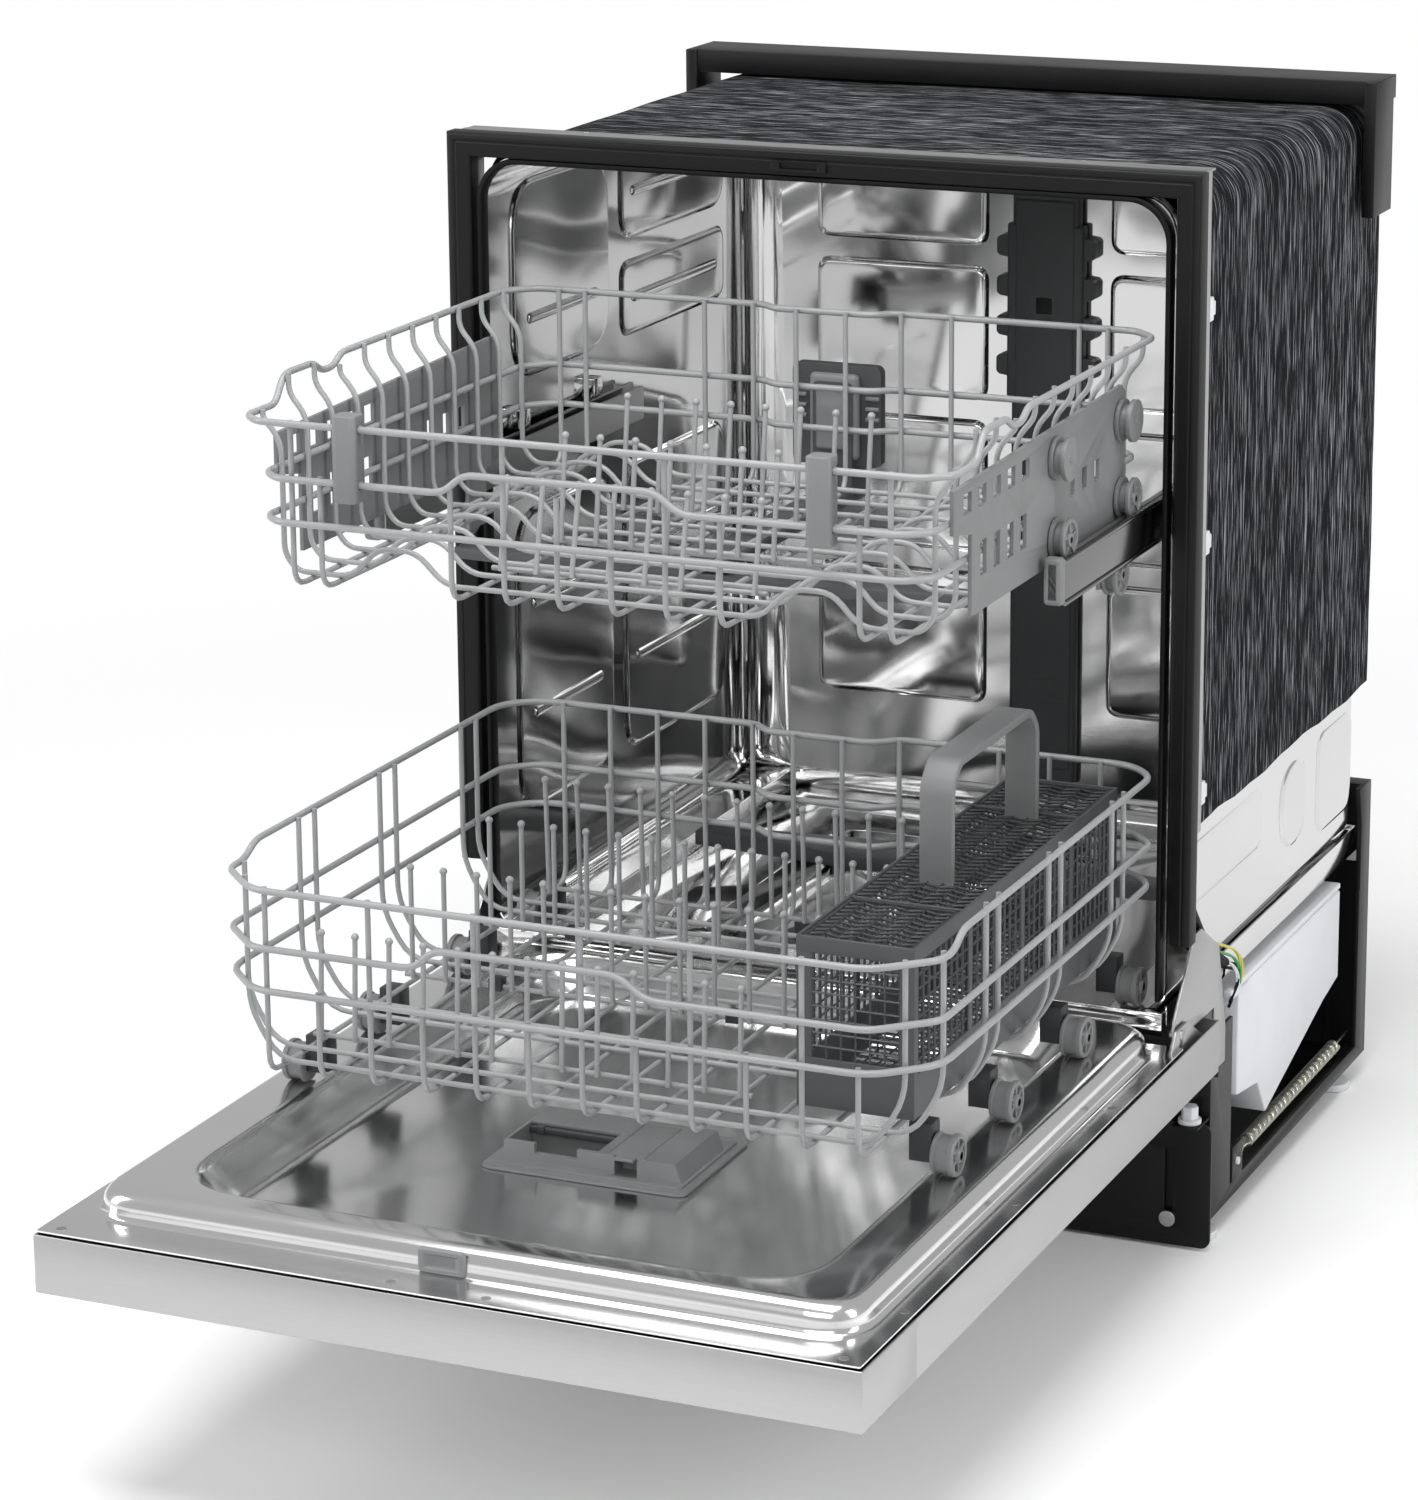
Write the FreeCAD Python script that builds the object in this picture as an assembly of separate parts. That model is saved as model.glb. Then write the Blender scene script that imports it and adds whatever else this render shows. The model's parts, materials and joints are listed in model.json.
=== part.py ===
"""Built-in dishwasher, 24 inch class, as it stands with its door open and both racks run out.

Frame: millimetres, +Z up, +X to the right of the person who loads it; the door opens towards -Y.  The origin is
on the floor, at the middle of the width, in the plane of the front trim that the closed door seals against.
Each function below builds one group of pieces and stores every piece under the name of its node.
"""
import FreeCAD, Part
import math
import os

V = FreeCAD.Vector
NODES = {}

# ---- driving dimensions ----------------------------------------------------------------------------------
WIDTH = 603.0                       # over the front trim and the door
TRIM_TOP, TRIM_BOTTOM = 858.0, 280.0
TRIM_W, TRIM_D = 19.0, 16.0         # face width and depth of the trim
SHEET = 1.5                         # steel sheet
TUB_X = 278.0                       # half the clear width of the tub
TUB_TOP, TUB_BACK = 838.0, 524.0
TUB_LIP = 12.0                      # front edge of the tub floor
LEDGE_X, LEDGE_Z = 236.0, 222.0     # the ledges that the lower rack's wheels roll on
DECK_Z, BASIN_Z = 205.0, 178.0      # tub floor between the ledges, and the basin in it
BASIN = (-150.0, 120.0, 108.0, 420.0)
SUMP_X, SUMP_Y = -66.0, 196.0
ARM_Y = 270.0                       # axis of the lower spray arm, on the middle plane

BASE_X, BASE_FRONT, BASE_BACK = 285.0, 112.0, 545.0
BASE_LOW, BASE_HIGH = 20.0, 172.0
TOE_Y, TOE_TOP = 100.0, 104.0
FELT, FELT_Y, FELT_Z = 5.0, 38.0, 352.0

DOOR_FRONT, DOOR_REAR = -647.0, 79.0     # top and bottom edges of the open door
DOOR_IN, DOOR_OUT = 202.0, 157.0         # flange plane of the liner and outer face of the panel
SEAM_Y = -553.0                          # joint between the console and the door panel
LINER_X, LINER_FRONT, LINER_REAR = 281.0, -611.0, -8.0
DISH_X, DISH_Z = 232.0, 190.0
PIVOT_Y, PIVOT_Z = 4.0, 210.0
PLATE_X, ARM_X = 290.2, 293.0            # inner faces of the hinge bracket and of the hinge arm
DISPENSER = (-84.0, 62.0, -392.0, -286.0)
DISPENSER_TOP = 207.5
LATCH_X = -10.0

RIM_R, WIRE_R, TINE_R = 2.5, 2.0, 1.8
TOUCH = 0.1                              # gap between wires that lie on each other
LAP = RIM_R + WIRE_R + TOUCH             # from the middle of a rim wire to that of a wire laid against it

LOW_X, LOW_Y0, LOW_Y1 = 268.5, -462.0, 30.0
LOW_RIM, LOW_MID, LOW_LOW, LOW_FLOOR = 397.0, 355.0, 324.0, 266.0
LOW_SIDE = LOW_RIM + 10.0
LOW_JOG = 16.0                           # the rear rim steps forward by this at the riser duct
WHEEL_R, WHEEL_Z = 15.0, LEDGE_Z + 15.3
WHEEL_IN, WHEEL_OUT = 241.5, 258.0
WHEEL_Y = (-363.0, -249.0, -102.0, 22.0)
TINE_X = (-214.0, 110.0, 13)             # first, last and number of tines in a row of the lower rack
BASKET = (153.0, 239.0, -399.0, 16.0, 271.5, 393.0)
LID_FRONT_Y, LID_REAR_Y = -306.0, -62.0

UP_X, UP_IN_X = 262.0, 248.0             # side rim, and the lower wires that run inside the roller plates
UP_Y0, UP_Y1 = -405.0, 34.0
UP_RIM, UP_SIDE, UP_MID, UP_LOW, UP_FLOOR = 716.0, 735.0, 677.0, 646.0, 604.0
UP_JOG = 12.0
PLATE_IN, PLATE_OUT = 250.7, 253.7       # height plates at the sides of the upper rack
SPOOL_IN, GROOVE_IN, GROOVE_OUT, SPOOL_OUT = 254.3, 257.3, 262.7, 266.1
SPOOL_R, GROOVE_R = 15.5, 11.4
RAIL_LOW, RAIL_HIGH = 586.7, 614.3
RAIL_Y0, RAIL_Y1 = -196.0, 262.0
SPOOL_Y, SPARE_Z = (-172.0, -33.0), 683.0
SPOOL_Z = RAIL_HIGH + GROOVE_R + 0.02
KEEPER_Y, KEEPER_Z = -59.0, RAIL_LOW - GROOVE_R - 0.02
STRIP_IN, STRIP_OUT, STRIP_LOW, STRIP_HIGH = 267.2, 271.2, 584.0, 617.0
TUB_ROLLER_Y, TUB_ROLLER_R = (62.0, 196.0), 8.0
TUB_ROLLER_Z = STRIP_LOW - TUB_ROLLER_R - 0.02
UP_ARM_Y = -180.0
PIPE_TOP = UP_FLOOR - 9.4                # top of the feed pipe under the upper rack

PIN_R, BORE_R = 2.5, 2.56                # roller pins and the bores that run on them
AXLE_R, WHEEL_BORE = 3.0, 3.06


# ---- small makers ----------------------------------------------------------------------------------------
def box(x0, x1, y0, y1, z0, z1):
    return Part.makeBox(x1 - x0, y1 - y0, z1 - z0, V(x0, y0, z0))


def side_box(side, x0, x1, y0, y1, z0, z1):
    """A box between x0 and x1 from the middle plane, on the right (1) or the left (-1)."""
    return box(x0, x1, y0, y1, z0, z1) if side > 0 else box(-x1, -x0, y0, y1, z0, z1)


def rod(a, b, r):
    a, b = V(*a), V(*b)
    return Part.makeCylinder(r, (b - a).Length, a, b - a)


def disc(x, y, z, r, length, axis):
    return Part.makeCylinder(r, length, V(x, y, z), V(*axis))


def side_disc(side, x0, x1, y, z, r):
    """A cylinder along X between x0 and x1 from the middle plane, on one side."""
    return disc(x0 if side > 0 else -x1, y, z, r, x1 - x0, (1, 0, 0))


def tube(x, y, z, r_out, r_in, length, axis):
    return disc(x, y, z, r_out, length, axis).cut(disc(x, y, z, r_in, length, axis))


def prism(points, push):
    """A closed outline of points, extruded along push."""
    ring = [V(*p) for p in points]
    return Part.Face(Part.makePolygon(ring + ring[:1])).extrude(V(*push))


def side_prism(side, x0, x1, outline):
    """A plate between x0 and x1 from the middle plane, with an outline of (y, z) points."""
    start = x0 if side > 0 else -x1
    return prism([(start, y, z) for y, z in outline], (x1 - x0, 0, 0))


def rounded(x0, x1, y0, y1, z0, z1, r, along="z"):
    """A box with the four edges along one axis rounded."""
    body = box(x0, x1, y0, y1, z0, z1)
    axis = {"x": V(1, 0, 0), "y": V(0, 1, 0), "z": V(0, 0, 1)}[along]
    return body.makeFillet(r, [e for e in body.Edges if abs(e.tangentAt(e.FirstParameter).dot(axis)) > 0.99])


def fuse(*shapes):
    whole = shapes[0].fuse(list(shapes[1:])) if len(shapes) > 1 else shapes[0]
    return whole.removeSplitter()


def store(name, *shapes):
    """Keeps the shapes as the node's separate solids."""
    NODES[name] = Part.makeCompound([solid for shape in shapes for solid in shape.Solids])


def spread(first, last, count):
    return [first + (last - first) * i / (count - 1) for i in range(count)]


def both(make):
    """What a maker gives for the right side and for the left side, in one list."""
    return make(1) + make(-1)


def wire_run(points, r):
    """A bent wire as straight lengths that meet face to face on the plane that halves each bend."""
    pts = [V(*p) for p in points]
    parts = []
    for i in range(len(pts) - 1):
        a, b = pts[i], pts[i + 1]
        along = (b - a).normalize()
        length = Part.makeCylinder(r, (b - a).Length + 6 * r, a - along * 3 * r, along)
        for j, other, sign in ((i, i - 1, -1), (i + 1, i + 2, 1)):
            normal = along * sign
            if 0 <= other < len(pts):
                normal = (normal + (pts[other] - pts[j]).normalize()).normalize()
            reach = 40 * r
            half = Part.makeBox(2 * reach, 2 * reach, reach, V(-reach, -reach, 0))
            half.Placement = FreeCAD.Placement(pts[j], FreeCAD.Rotation(V(0, 0, 1), normal))
            length = length.cut(half)
        parts.append(length)
    return parts


def round_path(points, r, bend):
    """A round section along straight runs joined by tangent arcs of about one bend radius."""
    pts = [V(*p) for p in points]
    edges, here = [], pts[0]
    for i in range(1, len(pts) - 1):
        a = (pts[i - 1] - pts[i]).normalize()
        b = (pts[i + 1] - pts[i]).normalize()
        half = a.getAngle(b) / 2
        room = min((pts[i - 1] - pts[i]).Length, (pts[i + 1] - pts[i]).Length) * 0.48
        trim_off = min(bend / math.tan(half), room)
        radius = trim_off * math.tan(half)
        middle = pts[i] + (a + b).normalize() * (radius / math.sin(half) - radius)
        edges.append(Part.LineSegment(here, pts[i] + a * trim_off).toShape())
        edges.append(Part.Arc(pts[i] + a * trim_off, middle, pts[i] + b * trim_off).toShape())
        here = pts[i] + b * trim_off
    edges.append(Part.LineSegment(here, pts[-1]).toShape())
    ring = Part.Wire(Part.Circle(pts[0], pts[1] - pts[0], r).toShape())
    return Part.Wire(edges).makePipeShell([ring], True, False)


def round_frame(x, y0, y1, z, r):
    """The wire of a rounded rectangle of half-width x, from y0 to y1, at height z."""
    s = r * math.sqrt(0.5)
    corners = [(x - r, y0 + r, 1, -1), (x - r, y1 - r, 1, 1), (-x + r, y1 - r, -1, 1), (-x + r, y0 + r, -1, -1)]
    arcs = []
    for cx, cy, sx, sy in corners:
        ends = [V(cx, cy + sy * r, z), V(cx + sx * r, cy, z)]
        if sx * sy > 0:
            ends.reverse()
        arcs.append((ends[0], V(cx + sx * s, cy + sy * s, z), ends[1]))
    edges = []
    for i, (start, middle, end) in enumerate(arcs):
        edges.append(Part.LineSegment(arcs[i - 1][2], start).toShape())
        edges.append(Part.Arc(start, middle, end).toShape())
    return Part.Wire(edges)


# ---- tub and what closes it ------------------------------------------------------------------------------
def tub():
    front, back, x = TRIM_D + SHEET, TUB_BACK, TUB_X

    def guides(side):
        """Pins for the tub's rollers and, over each, the block that keeps the rail down."""
        pins = [side_disc(side, STRIP_IN - 0.4, x, y, TUB_ROLLER_Z, AXLE_R) for y in TUB_ROLLER_Y]
        blocks = [side_box(side, STRIP_IN + 0.2, x, y - 8, y + 8, STRIP_HIGH + 0.3, STRIP_HIGH + 16)
                  for y in TUB_ROLLER_Y]
        return pins + blocks

    store("tub_wrap",
          box(-x - SHEET, -x, front, back, DECK_Z, TUB_TOP),
          box(x, x + SHEET, front, back, DECK_Z, TUB_TOP),
          box(-x - SHEET, x + SHEET, front, back, TUB_TOP, TUB_TOP + SHEET), *both(guides))
    store("tub_back", box(-x - SHEET, x + SHEET, back, back + SHEET, DECK_Z - 10, TUB_TOP + SHEET))

    x0, x1, y0, y1 = BASIN
    below = DECK_Z - SHEET
    deck = box(-LEDGE_X, LEDGE_X, TUB_LIP, back, below, DECK_Z).cut(rounded(x0, x1, y0, y1, below - 5, DECK_Z + 5, 30))
    pan = rounded(x0 - SHEET, x1 + SHEET, y0 - SHEET, y1 + SHEET, BASIN_Z - SHEET, DECK_Z, 30 + SHEET)
    pan = pan.cut(rounded(x0, x1, y0, y1, BASIN_Z, DECK_Z + 1, 30))
    pan = pan.cut(disc(SUMP_X, SUMP_Y, BASIN_Z - 5, 62, 10, (0, 0, 1)))
    sides = both(lambda s: [side_box(s, LEDGE_X, x - 0.05, TUB_LIP, back, LEDGE_Z - SHEET, LEDGE_Z),
                            side_box(s, LEDGE_X - SHEET, LEDGE_X, TUB_LIP, back, below, LEDGE_Z)])
    lip = box(-x + 0.05, x - 0.05, TUB_LIP - SHEET, TUB_LIP, below, LEDGE_Z)
    store("tub_bottom", fuse(deck, pan, lip, *sides))


def front_trim():
    half, top, inner = WIDTH / 2, TRIM_TOP, WIDTH / 2 - TRIM_W
    left = prism([(-half, 0, TRIM_BOTTOM), (-inner, 0, TRIM_BOTTOM), (-inner, 0, top - TRIM_W), (-half, 0, top)],
                 (0, TRIM_D, 0))
    right = prism([(half, 0, TRIM_BOTTOM), (inner, 0, TRIM_BOTTOM), (inner, 0, top - TRIM_W), (half, 0, top)],
                  (0, TRIM_D, 0))
    over = prism([(-half, 0, top), (half, 0, top), (inner, 0, top - TRIM_W), (-inner, 0, top - TRIM_W)],
                 (0, TRIM_D, 0))
    hook = (LATCH_X - 22, LATCH_X + 22, -1.5, TRIM_D, 843.0, 851.0)
    store("front_trim", left, right, over.cut(box(*hook)))
    store("latch_striker", box(*hook).cut(box(LATCH_X - 15, LATCH_X + 15, -2, 9, 844.5, 849.5)))
    front, outer, low = TRIM_D, half - 2.0, 277.0
    strip_z, cap = 362.0, top - 1
    store("tub_front_frame",
          box(-outer, -TUB_X, front, front + SHEET, low, cap), box(TUB_X, outer, front, front + SHEET, low, cap),
          box(-TUB_X, TUB_X, front, front + SHEET, TUB_TOP, cap),
          box(outer - SHEET, outer, front + SHEET, front + 14, strip_z, cap),
          box(-outer, -outer + SHEET, front + SHEET, front + 14, strip_z, cap),
          box(-outer + SHEET, outer - SHEET, front + SHEET, front + 26, cap - SHEET, cap)
          .cut(disc(-200, 36, cap - 5, 2.5, 9, (0, 0, 1))).cut(disc(200, 36, cap - 5, 2.5, 9, (0, 0, 1))))
    seal = rounded(-TUB_X, TUB_X, 3, 15.5, 200, TUB_TOP + 0.8, 32, "y")
    seal = seal.cut(rounded(-TUB_X + 4, TUB_X - 4, 2, 17, 190, TUB_TOP - 3.2, 30, "y"))
    store("door_gasket", seal.cut(box(-300, 300, 0, 20, 190, 233)))


def jacket():
    """The felt over the tub's sides, top and back, and the plastic bracket over its rear edge."""
    x0 = TUB_X + SHEET + 0.3
    x1, top = x0 + FELT, TUB_TOP + SHEET + 0.3
    back = TUB_BACK + SHEET + 0.5
    outer = rounded(-x1, x1, FELT_Y, back + FELT, FELT_Z - 20, top + FELT, 12, "y")
    store("insulation_felt", outer.cut([box(-x0, x0, FELT_Y - 5, back, FELT_Z - 30, top),
                                        box(-x1 - 1, x1 + 1, FELT_Y - 5, back + 20, FELT_Z - 30, FELT_Z)]))
    reach, leg, y0, y1, high = 301.0, 10.0, 452.0, 506.0, 866.0
    under = top + FELT + 2
    hood = box(-reach, reach, y0, y1, under, high)
    legs = both(lambda s: [side_box(s, reach - leg, reach, y0 - 4, y1 - 6, 757, high)])
    pockets = [box(x, x + 78, y0 + 6, y1 - 6, under - 1, high - 3) for x in spread(-284, 206, 6)]
    store("rear_bracket", fuse(hood, *legs).cut(Part.makeCompound(pockets)))


# ---- base ------------------------------------------------------------------------------------------------
def base():
    x, y0, y1, low, high = BASE_X, BASE_FRONT, BASE_BACK, BASE_LOW, BASE_HIGH
    shell = box(-x, x, y0, y1, low, high).cut(box(-x + 3, x - 3, y0 + 3, y1 - 3, low + 3, high + 1))
    shell = shell.cut(box(-237, 237, y0 - 5, y0 + 10, 60, high + 1))
    foot_screw = 24.0
    for side in (1, -1):
        shell = shell.cut(side_box(side, x - 5, x + 1, 166, y1 - 28, low + 12, high + 1))
        shell = shell.fuse([
            side_box(side, x - 30, x, y1 - 18, y1, low, 262),
            side_box(side, x - 4, x, y1 - 26, y1, low, 262),
            side_prism(side, x - 4, x, [(y1 - 34, 262), (y1, 262), (y1, 236), (y1 - 26, 230)]),
            side_box(side, x - 24, x, y0, y0 + 38, low, 152),
            side_box(side, x - 24, x, y0 + 38, y1 - 18, low, low + 12),
            side_box(side, x - 4, x, 172, 198, low, 60),
            side_box(side, x, PLATE_X - 0.1, y0 + 2, y0 + 12, 139, 152),
            side_box(side, 238, 280, TOE_Y + 3.2, TOE_Y + 6.2, low + 6, 96),
            side_box(side, 238, 280, TOE_Y + 6.2, y0, 84, 96),
            side_box(side, x - 22, x - 1, y0 - 28, y0, TOE_TOP + 0.3, TOE_TOP + 2.3)])
        shell = shell.cut(side_disc(side, x - 10, x + 5, 184, 46, 3.2))
        shell = shell.cut(disc(side * 256, TOE_Y, foot_screw, 2.5, 12, (0, 1, 0)))
    shell = shell.cut(disc(SUMP_X - 66, y1 - 5, 118, 20, 10, (0, 1, 0)))
    shell = shell.cut(disc(149, y1 - 5, 82, 15, 10, (0, 1, 0)))
    store("base_frame", shell.removeSplitter())

    plate = rounded(-290, 290, TOE_Y, TOE_Y + 3, 2, TOE_TOP, 8, "y")
    screws = []
    for cx in (-256, 256):
        plate = plate.cut(rounded(cx - 3.2, cx + 3.2, TOE_Y - 2, TOE_Y + 6, 18, 82, 3.1, "y"))
        screws.append(fuse(disc(cx, TOE_Y - 3, foot_screw, 6.5, 3, (0, 1, 0)),
                           disc(cx, TOE_Y - 1, foot_screw, 2.4, 9, (0, 1, 0))))
    store("toe_plate", plate)
    store("toe_plate_screws", *screws)

    feet = [fuse(disc(fx, fy, 0, 17, 6, (0, 0, 1)), disc(fx, fy, 5, 6, low - 5, (0, 0, 1)))
            for fx in (-268, 268) for fy in (y0 + 20, y1 - 45)]
    for side in (1, -1):
        cx, cy, z = side * (x - 11), y0 - 17, TOE_TOP + 2.4
        hexagon = [(cx + 7 * math.cos(math.radians(60 * i)), cy + 7 * math.sin(math.radians(60 * i)), z)
                   for i in range(6)]
        feet.append(fuse(prism(hexagon, (0, 0, 14)), disc(cx, cy, z, 9, 4, (0, 0, 1))))
    store("levelling_feet", *feet)


def under_tub():
    """Sump, pumps and valves, which hang below the basin inside the base, and the filter in the basin."""
    x, y, roof = SUMP_X, SUMP_Y, BASIN_Z - SHEET
    up, right, back = (0, 0, 1), (1, 0, 0), (0, 1, 0)
    outlet_z = 140.0
    bowl = Part.makeCone(46, 60, 58, V(x, y, roof - 58.2)).fuse(disc(x, y, roof - 4.2, 66, 4, up))
    bowl = bowl.fuse(disc(x + 40, y, outlet_z, 16, 38, right)).cut(disc(x, y, roof - 54, 42, 60, up))
    post = fuse(disc(0, ARM_Y, BASIN_Z, 20, 44, up), disc(0, ARM_Y, BASIN_Z, 6, 65.5, up))
    store("sump_housing", bowl.removeSplitter(), post)
    mx = x + 78.4
    store("wash_motor", fuse(disc(mx, y, outlet_z, 30, 26, right), disc(mx + 25, y, outlet_z, 35, 75, right),
                             disc(mx + 99, y, outlet_z, 12, 10, right),
                             box(mx + 40, mx + 84, y - 16, y + 16, 98, 110)))
    store("drain_pump", fuse(disc(x - 76, y + 20, 118, 24, 20, right), disc(x - 134, y + 20, 118, 30, 58, right),
                             tube(x - 66, y + 30, 118, 9, 6.5, 314, back),
                             tube(x - 66, BASE_BACK - 30, 118, 10.5, 6.5, 25, back)))
    store("inlet_valve", fuse(box(120, 178, 470, 521, 60, 104), disc(149, 520, 82, 13, 24, back),
                              disc(149, 500, 103, 12, 26, up)))
    store("filter_mesh", disc(x, y, BASIN_Z, 78, 2.4, up).cut(disc(x, y, BASIN_Z - 1, 34, 6, up)))
    cup = fuse(tube(x, y, BASIN_Z - 44, 33, 30.5, 50, up), disc(x, y, BASIN_Z - 46, 33, 2.5, up),
               tube(x, y, BASIN_Z + 3, 41, 30.5, 3, up), box(x - 31, x + 31, y - 3, y + 3, BASIN_Z - 6, BASIN_Z + 16))
    store("filter_cup", cup)


def electronics():
    """The control unit's white case, which stands in the right side of the base."""
    x0, x1 = 238.0, 284.0
    store("electronics_case", side_prism(1, x0, x1, [(184, 188), (462, 188), (462, 112), (420, 104), (262, 60),
                                                      (240, 92), (184, 100)]))
    store("electronics_cover", box(x0 - 2, x1 - 1, 182, 466, 188.2, 193))


def spring_set():
    """Each side has a balance spring low in the base, with a cord from it round a pulley up to the hinge."""
    springs, cords = [], []
    z, pull_y, r = 42.0, 184.0, 1.8
    for side in (1, -1):
        x = side * 275.0
        springs.append(fuse(tube(x, 236, z, 6.2, 4.2, 250, (0, 1, 0)), disc(x, 235, z, 6.2, 2, (0, 1, 0)),
                            disc(x, 485, z, 6.2, 2, (0, 1, 0)), rod((x, 226, z - 6), (x, 236, z), 1.0),
                            rod((x, 486, z), (x, BASE_BACK - 18.2, z), 1.0)))
        cords += [tube(x - 4, pull_y, 46, 9.0, 3.2, 8, (1, 0, 0)), side_disc(side, 268, 287, pull_y, 46, 3.1)]
        start, low, front = V(x, 225.5, z - 6), V(x, pull_y, 34.6), V(x, 172.6, 47)
        path = Part.Wire([Part.LineSegment(start, low).toShape(),
                          Part.Arc(low, V(x, 174.8, 39.2), front).toShape(),
                          Part.LineSegment(front, V(x, 168, 150)).toShape()])
        ring = Part.Wire(Part.Circle(start, low - start, r).toShape())
        cords.append(path.makePipeShell([ring], True, False))
    store("balance_springs", *springs)
    store("spring_cords_and_pulleys", *cords)


def harness():
    """The door's wire harness down the right front edge, and the loose leads at the control unit."""
    x = 285.6
    trunk = [(x, 34, 752), (x, 34, 346), (x, 46, 300), (x, 92, 250), (x, 140, 224)]
    leads = [round_path([(x + aside, 142 + shift, 223 - shift), (x + aside + 2, 168 + shift, 214 - shift),
                         (x + aside + 3, 166 + shift, 200 - shift), (x + aside + 3, 146 + shift, 190 - shift)], 1.3, 8.0)
             for aside, shift in ((0.0, 0.0), (-2.8, 6.0))]
    store("wire_harness", round_path(trunk, 3.8, 26.0), *leads)


def rear_duct():
    """The riser on the tub's back with its stepped teeth, the sprayer at the top, and the rack arm's outlet."""
    y0, y1 = TUB_BACK - 14.0, TUB_BACK - 0.1
    top = TUB_TOP - 0.1
    teeth = [box(-44, 44, y0 + 3, y1, z, z + 20) for z in (592, 626, 660, 694)]
    body = fuse(rounded(-30, 30, y0, y1, 236, 762, 6, "y"), box(-22, 22, y0 + 2, y1, 760, top), *teeth)
    body = body.cut(disc(0, y0 - 1, 655, 12, 10, (0, 1, 0)))
    over = fuse(box(-14, 14, ARM_Y, y0 + 4, top - 10, top), disc(0, ARM_Y, top - 14, 24, 14, (0, 0, 1)))
    store("rear_duct", fuse(body, over))


def lower_arm():
    z = LEDGE_Z + 3
    arm = fuse(disc(0, ARM_Y, z, 24, 16, (0, 0, 1)), spray_blades(ARM_Y, z + 2, 215, 25, 12))
    store("lower_spray_arm", arm.cut(disc(0, ARM_Y, z - 5, 6.05, 40, (0, 0, 1))))


def spray_blades(y, z, reach, half, height):
    """Two blades along X, broad at the hub and narrow at the tips."""
    plan = [(-reach, -10), (-70, -half), (70, -half), (reach, -10), (reach, 10), (70, half), (-70, half),
            (-reach, 10)]
    return prism([(a, y + b, z) for a, b in plan], (0, 0, height))


# ---- door ------------------------------------------------------------------------------------------------
def hinges():
    """Steel brackets on the base and frame, and the arms of the door, whose pins turn in them."""
    brackets, arms = [], []
    plate = [(-3, 202.8), (95, 202.8), (95, 150), (124, 150), (124, 178), (104, 250), (60, 276), (44, 276), (-3, 222)]
    arm = [(-20, 160), (40, 160), (60, 178), (60, 192), (18, 216), (-8, 216), (-20, 200)]
    for side in (1, -1):
        sheet = side_prism(side, PLATE_X, PLATE_X + 2, plate)
        brackets.append(sheet.cut(side_disc(side, PLATE_X - 1, PLATE_X + 3, PIVOT_Y, PIVOT_Z, 4.05)))
        blade = side_prism(side, ARM_X, ARM_X + 2.5, arm)
        arms.append(fuse(blade, side_disc(side, PLATE_X - 3, ARM_X + 3.5, PIVOT_Y, PIVOT_Z, 4.0)))
    store("hinge_brackets", *brackets)
    store("hinge_arms", *arms)


def door():
    half, under = WIDTH / 2, DOOR_IN - 3
    panel = box(-half, half, SEAM_Y + 0.4, DOOR_REAR, DOOR_OUT, under)
    store("door_panel", panel.cut(box(-half + 1.2, half - 1.2, SEAM_Y - 5, DOOR_REAR - 1.2, DOOR_OUT + 1.2, 300)))
    shell = box(-half, half, DOOR_FRONT, SEAM_Y, DOOR_OUT, under)
    shell = shell.cut(box(-half + 2, half - 2, DOOR_FRONT + 2, SEAM_Y + 1, DOOR_OUT + 2, 300))
    grip = (-92, 92, -612, -568)
    pocket = box(grip[0] - 2, grip[1] + 2, grip[2] - 2, grip[3] + 2, DOOR_OUT, DOOR_OUT + 26)
    store("console", fuse(shell, pocket).cut(box(*grip, DOOR_OUT - 1, DOOR_OUT + 24)))
    screws = [(s * 285, -637) for s in (1, -1)] + [(-36, -635), (34, -636)]
    screws += [(s * 292.5, y) for s in (1, -1) for y in (-552, -347, -144)]
    door_liner(screws)
    store("liner_screws", *[fuse(Part.makeCone(1.6, 3.6, 2.6, V(a, b, DOOR_IN - 2.4)),
                                 disc(a, b, DOOR_IN - 12, 1.6, 10, (0, 0, 1))) for a, b in screws])


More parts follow.
